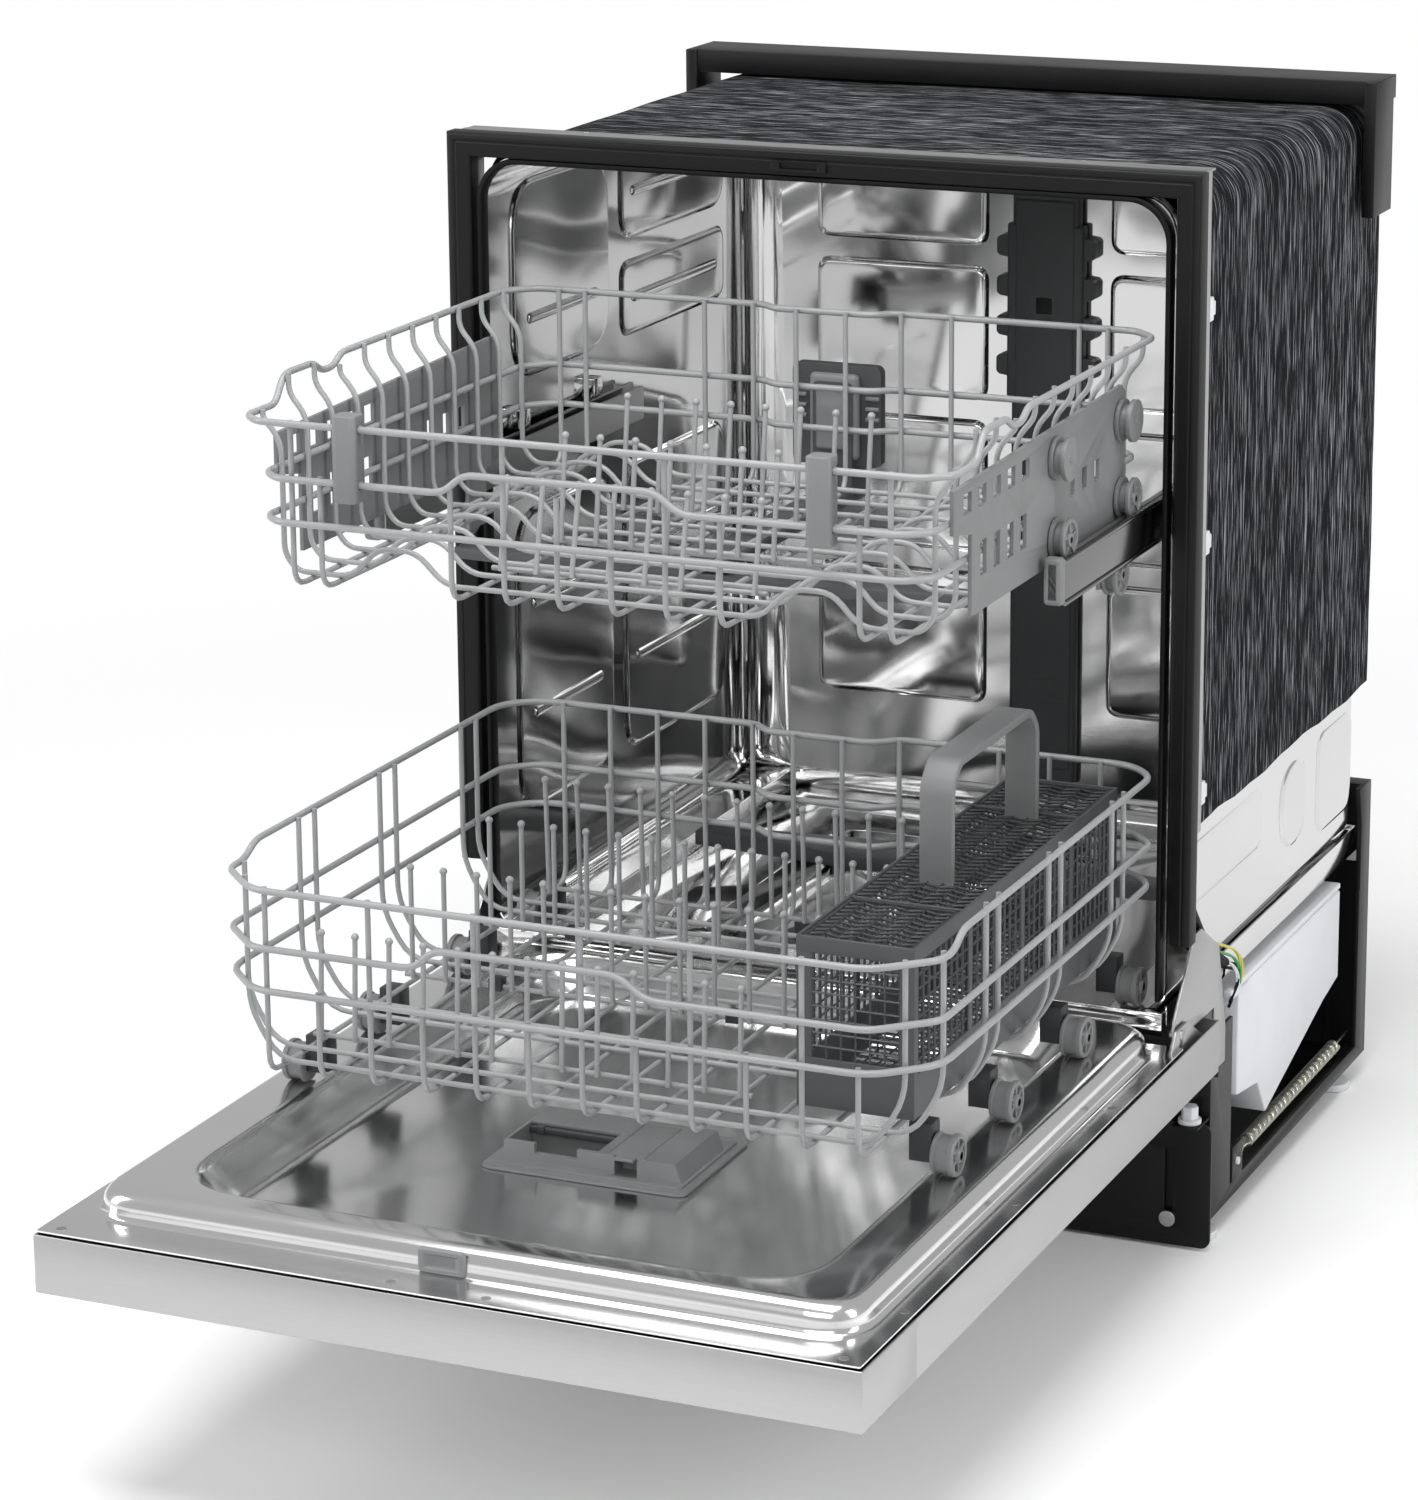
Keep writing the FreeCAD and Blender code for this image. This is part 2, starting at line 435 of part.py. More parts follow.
def door_liner(screws):
    """The steel inner door: a flat flange, a raised ridge on which the wheels roll, and a dished middle."""
    half, under = WIDTH / 2, DOOR_IN - 3
    x, y0, y1 = LINER_X, LINER_FRONT, LINER_REAR
    flange = box(-half + 2, half - 2, DOOR_FRONT + 1, -2, under, DOOR_IN)
    ridge = rounded(-x, x, y0, y1, under, LEDGE_Z, 34)
    ridge = ridge.makeFillet(9, [e for e in ridge.Edges if e.BoundBox.ZMin > LEDGE_Z - 0.1])
    hollow_top = LEDGE_Z - SHEET
    hollow = rounded(-x + SHEET, x - SHEET, y0 + SHEET, y1 - SHEET, DOOR_IN - 5, hollow_top, 34 - SHEET)
    hollow = hollow.makeFillet(9 - SHEET, [e for e in hollow.Edges if e.BoundBox.ZMin > hollow_top - 0.1])
    dy0, dy1 = y0 + 34, y1 - 18
    dish = Part.makeLoft([round_frame(DISH_X - 22, dy0 + 22, dy1 - 10, DISH_Z, 40),
                          round_frame(DISH_X, dy0, dy1, LEDGE_Z + 0.5, 56)], True)
    skin = Part.makeLoft([round_frame(DISH_X - 22 + SHEET, dy0 + 22 - SHEET, dy1 - 10 + SHEET, DISH_Z - SHEET, 41),
                          round_frame(DISH_X + SHEET, dy0 - SHEET, dy1 + SHEET, hollow_top, 57)], True)
    liner = flange.fuse(ridge).cut(hollow.cut(skin)).fuse(skin).cut(dish)
    cuts = [box(*DISPENSER, DISH_Z - 10, DISH_Z + 5), box(LATCH_X - 16, LATCH_X + 16, y0 - 5, y0 + 6, 204.5, 212.5)]
    cuts += [disc(a, b, DOOR_IN - 5, 3.7, 10, (0, 0, 1)) for a, b in screws]
    cuts += [side_box(s, ARM_X - 0.7, ARM_X + 3.2, -24, 5, DOOR_IN - 9, DOOR_IN + 5) for s in (1, -1)]
    store("door_liner", liner.cut(Part.makeCompound(cuts)).removeSplitter())


def dispenser():
    """The detergent and rinse-aid dispenser in the dished middle of the door."""
    x0, x1, y0, y1 = DISPENSER
    top, floor = DISPENSER_TOP, DISH_Z
    collar = rounded(x0 - 6, x1 + 6, y0 - 6, y1 + 6, floor + 0.2, floor + 2.2, 8)
    body = fuse(rounded(x0 + 0.3, x1 - 0.3, y0 + 0.3, y1 - 0.3, DOOR_OUT + 8, floor + 4, 6), collar,
                prism([(x0 + 6, y0 + 10, floor), (x0 + 6, y0 + 10, top), (54, y0 + 10, top), (x1 - 1, y0 + 10, floor)],
                      (0, 74, 0)))
    cup = (-76, -6, y0 + 14, y0 + 52)
    body = body.cut(box(*cup, floor - 14, top + 1)).cut(box(-54, -21, y0 + 5, y0 + 16, top - 7, top + 1))
    body = body.cut(box(cup[0], cup[1], cup[3] - 1, y0 + 82, top - 8, top - 2.6))
    body = body.cut(box(1.5, 30, y0 + 12.5, y0 + 78, top - 2.6, top + 1))
    body = body.cut(box(8, 25, y0 + 8, y0 + 24, top - 14, top + 1)).cut(disc(-23, y0 + 30, floor - 17, 7.2, 5, (0, 0, 1)))
    store("dispenser_body", body)
    store("dispenser_button", disc(-23, y0 + 30, floor - 13.6, 6.5, 12, (0, 0, 1)))
    store("detergent_cover", fuse(box(cup[0] + 0.4, cup[1] - 0.4, cup[3] - 4, y0 + 76, top - 7.6, top - 3),
                                  box(cup[0] + 6, cup[0] + 12, cup[3] - 6, cup[3] - 3, top - 7.6, top - 1)))
    store("rinse_aid_lid", fuse(box(1.9, 29.6, y0 + 13, y0 + 77.5, top - 2.2, top),
                                box(9, 24, y0 + 6.5, y0 + 13.2, top - 2.2, top)))


def latch():
    y = LINER_FRONT + 1.7
    case = box(LATCH_X - 17, LATCH_X + 17, y, y + 20, 203.6, 213.4)
    store("latch_housing", case.cut(box(LATCH_X - 13, LATCH_X + 13, y - 1, y + 18, 205, 212)))
    store("latch_hook", box(LATCH_X - 9, LATCH_X + 9, y + 2, y + 12, 205.4, 211.5))


# ---- lower rack ------------------------------------------------------------------------------------------
def lower_rack():
    x, y0, y1, cut = LOW_X, LOW_Y0, LOW_Y1, 38.0

    def rim(z, lift, side_z):
        """A rim wire: a straight front, its middle raised by lift, cut corners and sides that step up."""
        left = [(-x, -180, side_z), (-x, y0 + 75, side_z), (-x, y0 + 62, z), (-x, y0 + cut, z)]
        raised = [(-104, y0, z), (-90, y0, z + lift), (50, y0, z + lift), (70, y0, z)] if lift else []
        right = [(-px, py, pz) for px, py, pz in reversed(left)]
        if side_z == z:
            left.pop(1), left.pop(1), right.pop(1), right.pop(1)
        return left + [(-x + cut, y0, z)] + raised + [(x - cut, y0, z)] + right

    def rear(z):
        return [(-x, -180, z), (-x, y1 - 24, z), (-x + 24, y1, z), (-58, y1, z), (-44, y1 - LOW_JOG, z),
                (44, y1 - LOW_JOG, z), (58, y1, z), (x - 24, y1, z), (x, y1 - 24, z), (x, -180, z)]

    wires = []
    for z, lift, side_z in ((LOW_RIM, 0, LOW_SIDE), (LOW_MID, 15, LOW_MID), (LOW_LOW, 0, LOW_LOW)):
        wires += wire_run(rim(z, lift, side_z), RIM_R) + wire_run(rear(side_z), RIM_R)
    floor, kink = LOW_FLOOR, 302.0
    for y in (-438, -410, -330, -306, -205, -180, -70, -44):
        at_corner = y < y0 + cut
        reach = x - LAP - (16.2 if at_corner else 0)
        top = (LOW_RIM if y < y0 + 62 else LOW_SIDE) + 2
        wires += wire_run([(-reach, y, top), (-reach, y, kink), (22 - reach, y, floor), (reach - 22, y, floor),
                           (reach, y, kink), (reach, y, top)], WIRE_R)
    under = floor - 2 * WIRE_R - TOUCH
    for i, xl in enumerate(spread(-222, 222, 12)):
        back = y1 - LAP - (LOW_JOG if abs(xl) < 44 else 0)
        head = LOW_RIM + 2 if i % 2 == 0 else LOW_LOW + 3
        wires += wire_run([(xl, y0 + LAP, head), (xl, y0 + LAP, under), (xl, back, under),
                           (xl, back, LOW_SIDE + 2)], WIRE_R)
    bar_z = floor + 2 * WIRE_R + 0.4
    wires += tine_row(bar_z, spread(*TINE_X), 76, 4, -392) + tine_row(bar_z, spread(*TINE_X), 90, -4, -18)
    store("lower_rack_frame", *wires)

    store("fold_tines_middle", *tine_row(bar_z + 0.6, spread(*TINE_X), 84, 0, -250))
    store("fold_tines_rear", *tine_row(bar_z + 0.6, spread(*TINE_X), 84, 0, -120))

    def axle_mounts(side):
        return [fuse(side_disc(side, 236, WHEEL_OUT + 1.6, y, WHEEL_Z, AXLE_R),
                     side_box(side, 224.2, 240.5, y - 8, y + 8, WHEEL_Z - 5, under - WIRE_R - 0.2))
                for y in WHEEL_Y]

    clips = []
    for y in (-250, -120):
        for cx in (-146.5, 42.5):
            block = box(cx - 5, cx + 5, y - 5, y + 5, bar_z - 1.8, bar_z + 7)
            clips.append(block.cut(disc(cx - 9, y, bar_z + 0.6, WIRE_R + 0.08, 18, (1, 0, 0))))
    store("lower_rack_clips", *both(axle_mounts), *clips)
    for i, y in enumerate(WHEEL_Y, 1):
        store(f"lower_wheels_{i}", *[rack_wheel(side, y) for side in (1, -1)])


def rack_wheel(side, y):
    """A wheel that turns on its axle: two flanks with a slightly smaller tread between them."""
    whole = fuse(side_disc(side, WHEEL_IN, WHEEL_IN + 3, y, WHEEL_Z, WHEEL_R),
                 side_disc(side, WHEEL_IN + 3, WHEEL_OUT - 4, y, WHEEL_Z, WHEEL_R - 1.5),
                 side_disc(side, WHEEL_OUT - 4, WHEEL_OUT, y, WHEEL_Z, WHEEL_R))
    return whole.cut(side_disc(side, WHEEL_IN - 5, WHEEL_OUT + 5, y, WHEEL_Z, WHEEL_BORE))


def tine_row(z, xs, height, lean, bar_y):
    """A bar along X and the tines beside it, each height tall and leaning over by lean."""
    y = bar_y - WIRE_R - TINE_R - 0.05
    return [rod((xs[0] - 8, bar_y, z), (xs[-1] + 8, bar_y, z), WIRE_R)] + [
        rod((tx, y, z - 1), (tx, y + lean, z + height), TINE_R) for tx in xs]


def basket():
    """The silverware basket: slotted walls, two partitions, a fixed middle grid, the handle and two lids."""
    x0, x1, y0, y1, z0, z1 = BASKET
    t = 2.2
    lid_z = z1 - 3.4
    shell = box(x0, x1, y0, y1, z0, z1).cut(box(x0 + t, x1 - t, y0 + t, y1 - t, z0 + t, z1 + 1))
    grid = box(x0 + 1, x1 - 1, LID_FRONT_Y + 1, LID_REAR_Y - 1, lid_z, z1 - 0.6)
    shell = shell.fuse([box(x0 + 1, x1 - 1, y - 1, y + 1, z0 + 1, lid_z - 0.6) for y in (-296, -152, -72)] + [grid])
    rows = spread(z0 + 14, z1 - 27, 4)
    slots = [box(x0 - 1, x1 + 1, y, y + 11, z, z + 17) for y in spread(y0 + 12, y1 - 24, 19) for z in rows]
    slots += [box(x, x + 11, y0 - 1, y1 + 1, z, z + 17) for x in spread(x0 + 11, x1 - 22, 5) for z in rows]
    slots += hole_rows(LID_FRONT_Y + 8, LID_REAR_Y - 8, lid_z)
    xm, top = (x0 + x1) / 2, z1 + 85
    leg0, leg1 = -250.0, -70.0
    outline = [(leg0, lid_z - 6), (leg0, top - 18), (leg0 + 24, top), (leg1 - 24, top), (leg1, top - 18),
               (leg1, lid_z - 6), (leg1 - 8, lid_z - 6), (leg1 - 8, top - 26), (leg1 - 32, top - 8),
               (leg0 + 32, top - 8), (leg0 + 8, top - 26), (leg0 + 8, lid_z - 6)]
    handle = side_prism(1, xm - 13, xm + 13, outline)
    store("basket_body", shell.cut(Part.makeCompound(slots)).fuse(handle).removeSplitter())
    for name, a, b in (("basket_lid_front", y0 + t + 0.4, LID_FRONT_Y), ("basket_lid_rear", LID_REAR_Y, y1 - t - 0.4)):
        lid = box(x0 + t + 0.4, x1 - t - 0.4, a, b, lid_z, z1 - 1)
        store(name, lid.cut(Part.makeCompound(hole_rows(a + 5, b - 5, lid_z))))


def hole_rows(y0, y1, z):
    """Cutters for a grid of holes over the basket's top, in staggered rows."""
    x0, x1 = BASKET[0] + 9, BASKET[1] - 23
    count = int((y1 - y0) / 12)
    return [box(x + 3 * (i % 2), x + 3 * (i % 2) + 9.5, y, y + 7.5, z - 2, z + 6)
            for i, y in enumerate(spread(y0, y1 - 8, count)) for x in spread(x0, x1 - 2, 5)]


# ---- upper rack ------------------------------------------------------------------------------------------
def upper_rack():
    x, xi, y0, y1 = UP_X, UP_IN_X, UP_Y0, UP_Y1
    corner = 16.0

    def front(half, z, lift, back):
        raised = [(-103, y0, z), (-88, y0, z + lift), (55, y0, z + lift), (73, y0, z)] if lift else []
        return ([(-half, back, z), (-half, y0 + corner, z), (-half + corner, y0, z)] + raised
                + [(half - corner, y0, z), (half, y0 + corner, z), (half, back, z)])

    def rear(half, z):
        return [(-half, y1 - 20, z), (20 - half, y1, z), (-52, y1, z), (-40, y1 - UP_JOG, z),
                (40, y1 - UP_JOG, z), (52, y1, z), (half - 20, y1, z), (half, y1 - 20, z)]

    step = [(x, -250, UP_SIDE), (x, -262, UP_SIDE - 8), (x, -280, UP_SIDE - 8), (x, -292, UP_SIDE),
            (x, y0 + 70, UP_SIDE), (x, y0 + 56, UP_RIM), (x, y0 + 41, UP_RIM)]
    wires = wire_run(front(x, UP_RIM, 0, y0 + 41), RIM_R)
    wires += wire_run([(-a, b, c) for a, b, c in reversed(step)] + rear(x, UP_SIDE) + step, RIM_R)
    wires += wire_run(front(xi, UP_MID, 14, -180), RIM_R) + wire_run(front(xi, UP_LOW, 0, -180), RIM_R)
    for z in (UP_MID, UP_LOW):
        wires += wire_run([(-xi, -180, z)] + rear(xi, z) + [(xi, -180, z)], RIM_R)

    floor, inner, outer = UP_FLOOR, xi - LAP, x - LAP
    for y in spread(-375, 5, 11):
        on_low_rim = y < y0 + 50
        top = UP_RIM if on_low_rim else UP_SIDE - (8 if -284 < y < -258 else 0)
        turn = top - 20 if on_low_rim else UP_SIDE - 29
        half = [(outer, y, top + 2), (outer, y, turn + 16), (inner, y, turn), (inner, y, floor + 12),
                (inner - 10, y, floor), (190, y, floor), (170, y, floor + 22), (140, y, floor + 22), (118, y, floor)]
        wires += wire_run(half + [(-a, b, c) for a, b, c in reversed(half)], WIRE_R)
    under = floor - 2 * WIRE_R - TOUCH
    for i, xl in enumerate((-222, -200, -100, -60, -20, 20, 60, 100, 200, 222)):
        back = y1 - LAP - (UP_JOG if abs(xl) < 40 else 0)
        head = UP_RIM + 2 if i % 3 == 0 else UP_MID + 3
        wires += wire_run([(xl, y0 + LAP, head), (xl, y0 + LAP, under), (xl, back, under),
                           (xl, back, UP_SIDE + 2)], WIRE_R)
    for bar_y, height, lean in ((-330, 62, 14), (-232, 74, 10), (-126, 82, 10)):
        wires += tine_row(floor + 2 * WIRE_R + 0.3, spread(-96, 96, 8), height, lean, bar_y)
    store("upper_rack_frame", *wires)
    height_plates()
    clips = []
    for cx in (-175, 175):
        block = rounded(cx - 9, cx + 9, y0 - 8.5, y0 + 9, UP_MID - 12, UP_RIM + 10, 4)
        slots = [box(cx - 10, cx + 10, y0 - RIM_R - TOUCH, y0 + 12, z - RIM_R - TOUCH, z + RIM_R + TOUCH)
                 for z in (UP_RIM, UP_MID)]
        clips.append(block.cut(Part.makeCompound(slots)))
    store("rack_front_clips", *clips)


def spool(side, y, z, bore):
    """A rack roller: a groove that runs on the rail between two flanges."""
    whole = fuse(side_disc(side, SPOOL_IN, GROOVE_IN, y, z, SPOOL_R), side_disc(side, GROOVE_IN, GROOVE_OUT, y, z, GROOVE_R),
                 side_disc(side, GROOVE_OUT, SPOOL_OUT, y, z, SPOOL_R))
    return whole.cut(side_disc(side, SPOOL_IN - 1, SPOOL_OUT + 1, y, z, bore))


def height_plates():
    """Plates at the rack's sides that carry two running rollers, a keeper under the rail and two spares."""
    outline = [(-368, 670), (-368, 700), (-30, 708), (-22, 702), (-22, 612), (-44, 608), (-44, 566), (-74, 566),
               (-74, 608), (-334, 608), (-334, 664)]
    holes = [(y, y + 15, 680, 694) for y in (-350, -322, -294, -266, -238)]
    holes += [(y, y + 12, 632, 656) for y in (-318, -292, -266, -240)]
    holes += [(y, y + 10, 648, 664) for y in (-140, -114, -88)]
    spots = [(y, SPOOL_Z) for y in SPOOL_Y] + [(KEEPER_Y, KEEPER_Z)]

    def plate(side):
        face = side_prism(side, PLATE_IN, PLATE_OUT, outline)
        face = face.cut(Part.makeCompound([side_box(side, PLATE_IN - 1, PLATE_OUT + 1, *h) for h in holes]))
        pins = [side_disc(side, PLATE_OUT - 1, SPOOL_OUT + 0.5, y, z, PIN_R) for y, z in spots]
        spare_pins = [side_disc(side, PLATE_OUT - 1, SPOOL_OUT + 0.5, y, SPARE_Z, PIN_R) for y in SPOOL_Y]
        return [fuse(face, *pins, *spare_pins)] + [spool(side, y, SPARE_Z, PIN_R) for y in SPOOL_Y]

    store("height_plates", *both(plate))
    store("rail_rollers_front", *[spool(side, SPOOL_Y[0], SPOOL_Z, BORE_R) for side in (1, -1)])
    store("rail_rollers_rear", *[spool(side, SPOOL_Y[1], SPOOL_Z, BORE_R) for side in (1, -1)])
    store("keeper_rollers", *[spool(side, KEEPER_Y, KEEPER_Z, BORE_R) for side in (1, -1)])


def feed():
    """The pipe under the upper rack, the coupling that meets the riser duct, and the arm on its spindle."""
    top, y = PIPE_TOP, UP_ARM_Y
    low = top - 10.8
    up = (0, 0, 1)
    pipe = fuse(rounded(-16, 16, y - 16, 50, low, top, 4, "y"), rounded(-16, 16, 40, 73, low, 678, 4, "y"),
                rounded(-36, 36, 49, 58, 612, 690, 6, "y"))
    pipe = pipe.cut(disc(0, 58, 655, 10, 20, (0, 1, 0)))
    spindle = fuse(disc(0, y, low - 9.5, 4.9, 14, up), disc(0, y, low - 12, 9.0, 2.5, up))
    store("upper_feed_pipe", fuse(pipe, spindle))
    arm = spray_blades(y, low - 9, 205, 21, 8)
    store("upper_spray_arm", arm.cut(disc(0, y, low - 15, 4.96, 40, up)))


def upper_rails():
    """A rail each side: a bar in the rollers' grooves, a web, the outer strip on the tub's rollers, end caps."""
    groove_gap = 0.5

    def rail(side):
        bar = side_box(side, GROOVE_IN + groove_gap, GROOVE_OUT - groove_gap, RAIL_Y0, RAIL_Y1, RAIL_LOW, RAIL_HIGH)
        web = side_box(side, GROOVE_OUT - 1, STRIP_IN + 1, RAIL_Y0, RAIL_Y1, 594, 607)
        strip = side_box(side, STRIP_IN, STRIP_OUT, RAIL_Y0, RAIL_Y1, STRIP_LOW, STRIP_HIGH)
        cap = rounded(*sorted((side * 257.5, side * 271.6)), RAIL_Y0 - 10, RAIL_Y0 - 0.05, RAIL_LOW - 1, 620, 4, "y")
        return [fuse(bar, web, strip), cap]

    store("upper_rails", *both(rail))
    for name, y in (("tub_rollers_front", TUB_ROLLER_Y[0]), ("tub_rollers_rear", TUB_ROLLER_Y[1])):
        store(name, *[side_disc(side, STRIP_IN - 0.1, TUB_X - 3, y, TUB_ROLLER_Z, TUB_ROLLER_R)
                      .cut(side_disc(side, STRIP_IN - 2, TUB_X, y, TUB_ROLLER_Z, WHEEL_BORE)) for side in (1, -1)])


# ---- build all and write ---------------------------------------------------------------------------------
for group in (tub, front_trim, jacket, base, under_tub, electronics, spring_set, harness, rear_duct, lower_arm,
              hinges, door, dispenser, latch, lower_rack, basket, upper_rack, feed, upper_rails):
    group()

os.makedirs("parts", exist_ok=True)
for name, shape in NODES.items():
    if not shape.isValid() or not shape.Solids:
        print("bad shape:", name)
    shape.exportStep(f"parts/{name}.step")
print(len(NODES), "nodes,", sum(len(s.Solids) for s in NODES.values()), "solids")
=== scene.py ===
"""Looks of a built-in dishwasher, open and with both racks run out, around its CAD frame.

Everything is in metres, in the frame of the CAD model. Places are written in millimetres, and mm() turns them
into metres. Finishes come first, then small tools for shaping pieces, then a function for each group of pieces.
"""
import bpy
import json
import math
from mathutils import Matrix, Vector

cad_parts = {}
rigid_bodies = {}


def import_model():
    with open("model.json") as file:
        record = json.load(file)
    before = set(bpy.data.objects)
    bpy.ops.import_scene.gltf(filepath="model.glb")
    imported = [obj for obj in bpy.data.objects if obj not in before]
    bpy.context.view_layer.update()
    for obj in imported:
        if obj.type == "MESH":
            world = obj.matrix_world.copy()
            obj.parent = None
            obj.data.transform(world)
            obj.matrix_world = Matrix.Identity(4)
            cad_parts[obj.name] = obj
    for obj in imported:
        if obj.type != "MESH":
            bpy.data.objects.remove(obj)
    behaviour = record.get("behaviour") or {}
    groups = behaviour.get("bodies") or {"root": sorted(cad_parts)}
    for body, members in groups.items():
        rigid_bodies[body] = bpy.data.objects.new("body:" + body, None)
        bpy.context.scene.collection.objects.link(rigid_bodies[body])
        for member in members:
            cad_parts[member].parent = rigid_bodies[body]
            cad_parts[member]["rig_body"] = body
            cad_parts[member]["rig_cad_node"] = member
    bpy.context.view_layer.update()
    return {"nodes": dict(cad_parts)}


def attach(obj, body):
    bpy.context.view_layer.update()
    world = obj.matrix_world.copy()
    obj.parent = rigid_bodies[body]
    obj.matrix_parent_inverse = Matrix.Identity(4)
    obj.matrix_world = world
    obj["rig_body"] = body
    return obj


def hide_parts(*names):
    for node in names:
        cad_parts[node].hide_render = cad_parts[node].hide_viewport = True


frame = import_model()


def mm(x, y, z):
    """A place given in millimetres, in metres."""
    return Vector((x, y, z)) * 0.001


# ---- finishes --------------------------------------------------------------------------------------------
class Term:
    """A value inside a finish, so that sums on it can be written as sums."""

    def __init__(self, finish, socket):
        self.finish, self.socket = finish, socket

    def sum(self, operation, *terms):
        """A Math node on these terms."""
        return self.finish.node("ShaderNodeMath", {"operation": operation}, *terms)

    def __add__(self, other):
        return self.sum("ADD", self, other)

    def __mul__(self, other):
        return self.sum("MULTIPLY", self, other)

    def above(self, level, width):
        """0 well below the level, 1 well above it, with a soft edge of that width."""
        return self.finish.node("ShaderNodeMapRange", {"interpolation_type": "SMOOTHSTEP"}, self,
                                level - width, level + width, 0.0, 1.0)

    __radd__, __rmul__ = __add__, __mul__


class Finish:
    """A material, built around one Principled shader."""

    def __init__(self, name, color, roughness, metallic=0.0, **more):
        self.material = bpy.data.materials.new(name)
        self.material.use_nodes = True
        self.tree = self.material.node_tree
        self.shader = self.tree.nodes["Principled BSDF"]
        self.set("Base Color", (*color, 1.0))
        self.set("Roughness", roughness)
        self.set("Metallic", metallic)
        for socket, value in more.items():
            self.set(socket.replace("_", " "), value)
        self.place = Term(self, self.tree.nodes.new("ShaderNodeTexCoord").outputs["Object"])

    def set(self, socket, value):
        target = self.shader.inputs[socket]
        if isinstance(value, Term):
            self.tree.links.new(value.socket, target)
        else:
            target.default_value = value

    def node(self, kind, settings, *inputs, out=0, **named):
        made = self.tree.nodes.new(kind)
        for key, value in settings.items():
            setattr(made, key, value)
        pairs = list(enumerate(inputs)) + [(key.replace("_", " "), value) for key, value in named.items()]
        for key, value in pairs:
            if isinstance(value, Term):
                self.tree.links.new(value.socket, made.inputs[key])
            elif value is not None:
                made.inputs[key].default_value = value
        return Term(self, made.outputs[out])

    def noise(self, scale, detail=2.0, stretch=(1, 1, 1), distortion=0.0):
        """Noise of about scale cells to a metre, stretched by a factor along each axis."""
        place = self.node("ShaderNodeMapping", {}, Vector=self.place, Scale=stretch)
        return self.node("ShaderNodeTexNoise", {}, Vector=place, Scale=scale, Detail=detail,
                         Distortion=distortion)

    def shade(self, amount, low, high):
        """The base colour goes from low to high as amount goes from 0 to 1."""
        self.set("Base Color", self.node("ShaderNodeMix", {"data_type": "RGBA"}, out=2, Factor=amount,
                                         A=(*low, 1.0), B=(*high, 1.0)))

    def relief(self, height, strength, distance):
        self.set("Normal", self.node("ShaderNodeBump", {}, Height=height, Strength=strength, Distance=distance))


def polished(name, tone, wave, roughness=0.1):
    """Bright stainless sheet with long waves from the press."""
    f = Finish(name, (tone, tone, tone * 1.01), roughness, 1.0)
    f.set("Roughness", f.noise(9, 3) * 0.07 + (roughness - 0.03))
    f.shade(f.noise(5, 2), (tone * 0.9,) * 3, (tone * 1.06,) * 3)
    f.relief(f.noise(5, 0.5), 0.35, wave)
    return f.material


def brushed(name, tone, stretch, roughness=0.3):
    """Stainless with a fine grain along one direction."""
    f = Finish(name, (tone,) * 3, roughness, 1.0)
    grain = f.noise(900, 3, stretch)
    f.set("Roughness", grain * 0.22 + (roughness - 0.1))
    f.shade(grain, (tone * 0.9,) * 3, (tone * 1.06,) * 3)
    f.relief(grain, 0.12, 0.0004)
    return f.material


def moulded(name, color, roughness=0.45, grain=0.35, shine=0.5):
    """Moulded plastic with a fine spark-eroded grain."""
    f = Finish(name, color, roughness)
    fine, broad = f.noise(1400, 2), f.noise(14, 3)
    f.set("Roughness", broad * 0.12 + fine * 0.08 + (roughness - 0.1))
    f.shade(broad, tuple(c * 0.88 for c in color), tuple(min(c * 1.14, 1.0) for c in color))
    f.relief(fine, grain, 0.0003)
    f.set("Specular IOR Level", shine)
    return f.material


def felt_finish(name, packed):
    """Pressed fibre: dark, with short pale fibres, packed close along one axis and long across it."""
    f = Finish(name, (0.03, 0.032, 0.035), 0.95)
    f.set("Specular IOR Level", 0.08)
    fibres = f.noise(14, 4, [1.0 + 25.0 * p for p in packed], 0.4)
    fine = f.noise(42, 5, [0.7 + 18.3 * p for p in packed], 0.3)
    patch = f.noise(6, 3)
    pale = (fibres * 0.35 + fine * 0.65).above(0.57, 0.05) * (patch * 0.9 + 0.35)
    f.shade(pale, (0.0065, 0.007, 0.0085), (0.34, 0.35, 0.37))
    f.relief(fine + f.noise(500, 4) * 0.5, 0.7, 0.0016)
    return f.material


def coil_wire():
    """Plated spring wire."""
    f = Finish("spring_wire", (0.42, 0.42, 0.36), 0.35, 1.0)
    f.set("Roughness", f.noise(300, 2) * 0.2 + 0.26)
    return f.material


STEEL_TUB = polished("polished_steel_tub", 0.72, 0.02, 0.08)
STEEL_LINER = polished("polished_steel_liner", 0.8, 0.004, 0.15)
# painted shade: the polished steel with its tone lowered to 0.2, standing in for the shade and dark reflections
# along the rails' outer strips
SHADED_RAIL_STEEL = polished("rail_steel_painted_shade", 0.2, 0.002, 0.16)
STEEL_LONG = brushed("brushed_steel_panel", 0.45, (0.012, 1.0, 1.0), 0.4)
STEEL_PLATE = brushed("zinc_steel", 0.42, (1.0, 0.2, 1.0), 0.34)
WIRE = moulded("coated_wire", (0.27, 0.275, 0.28), 0.3, 0.05)
GREY = moulded("grey_plastic", (0.058, 0.06, 0.063), 0.46, 0.3, 0.4)
MID_GREY = moulded("mid_grey_plastic", (0.16, 0.162, 0.165), 0.44)
PALE_GREY = moulded("pale_grey_plastic", (0.19, 0.192, 0.196), 0.44)
DARK = moulded("dark_plastic", (0.026, 0.027, 0.029), 0.4, 0.3, 0.35)
BLACK = moulded("black_plastic", (0.004, 0.004, 0.0045), 0.38, 0.2, 0.22)
RUBBER = moulded("black_rubber", (0.003, 0.003, 0.003), 0.5, 0.2, 0.15)
WHITE = moulded("white_plastic", (0.6, 0.61, 0.63), 0.42, 0.12)
YELLOW = moulded("yellow_lead", (0.55, 0.5, 0.04), 0.4, 0.1)
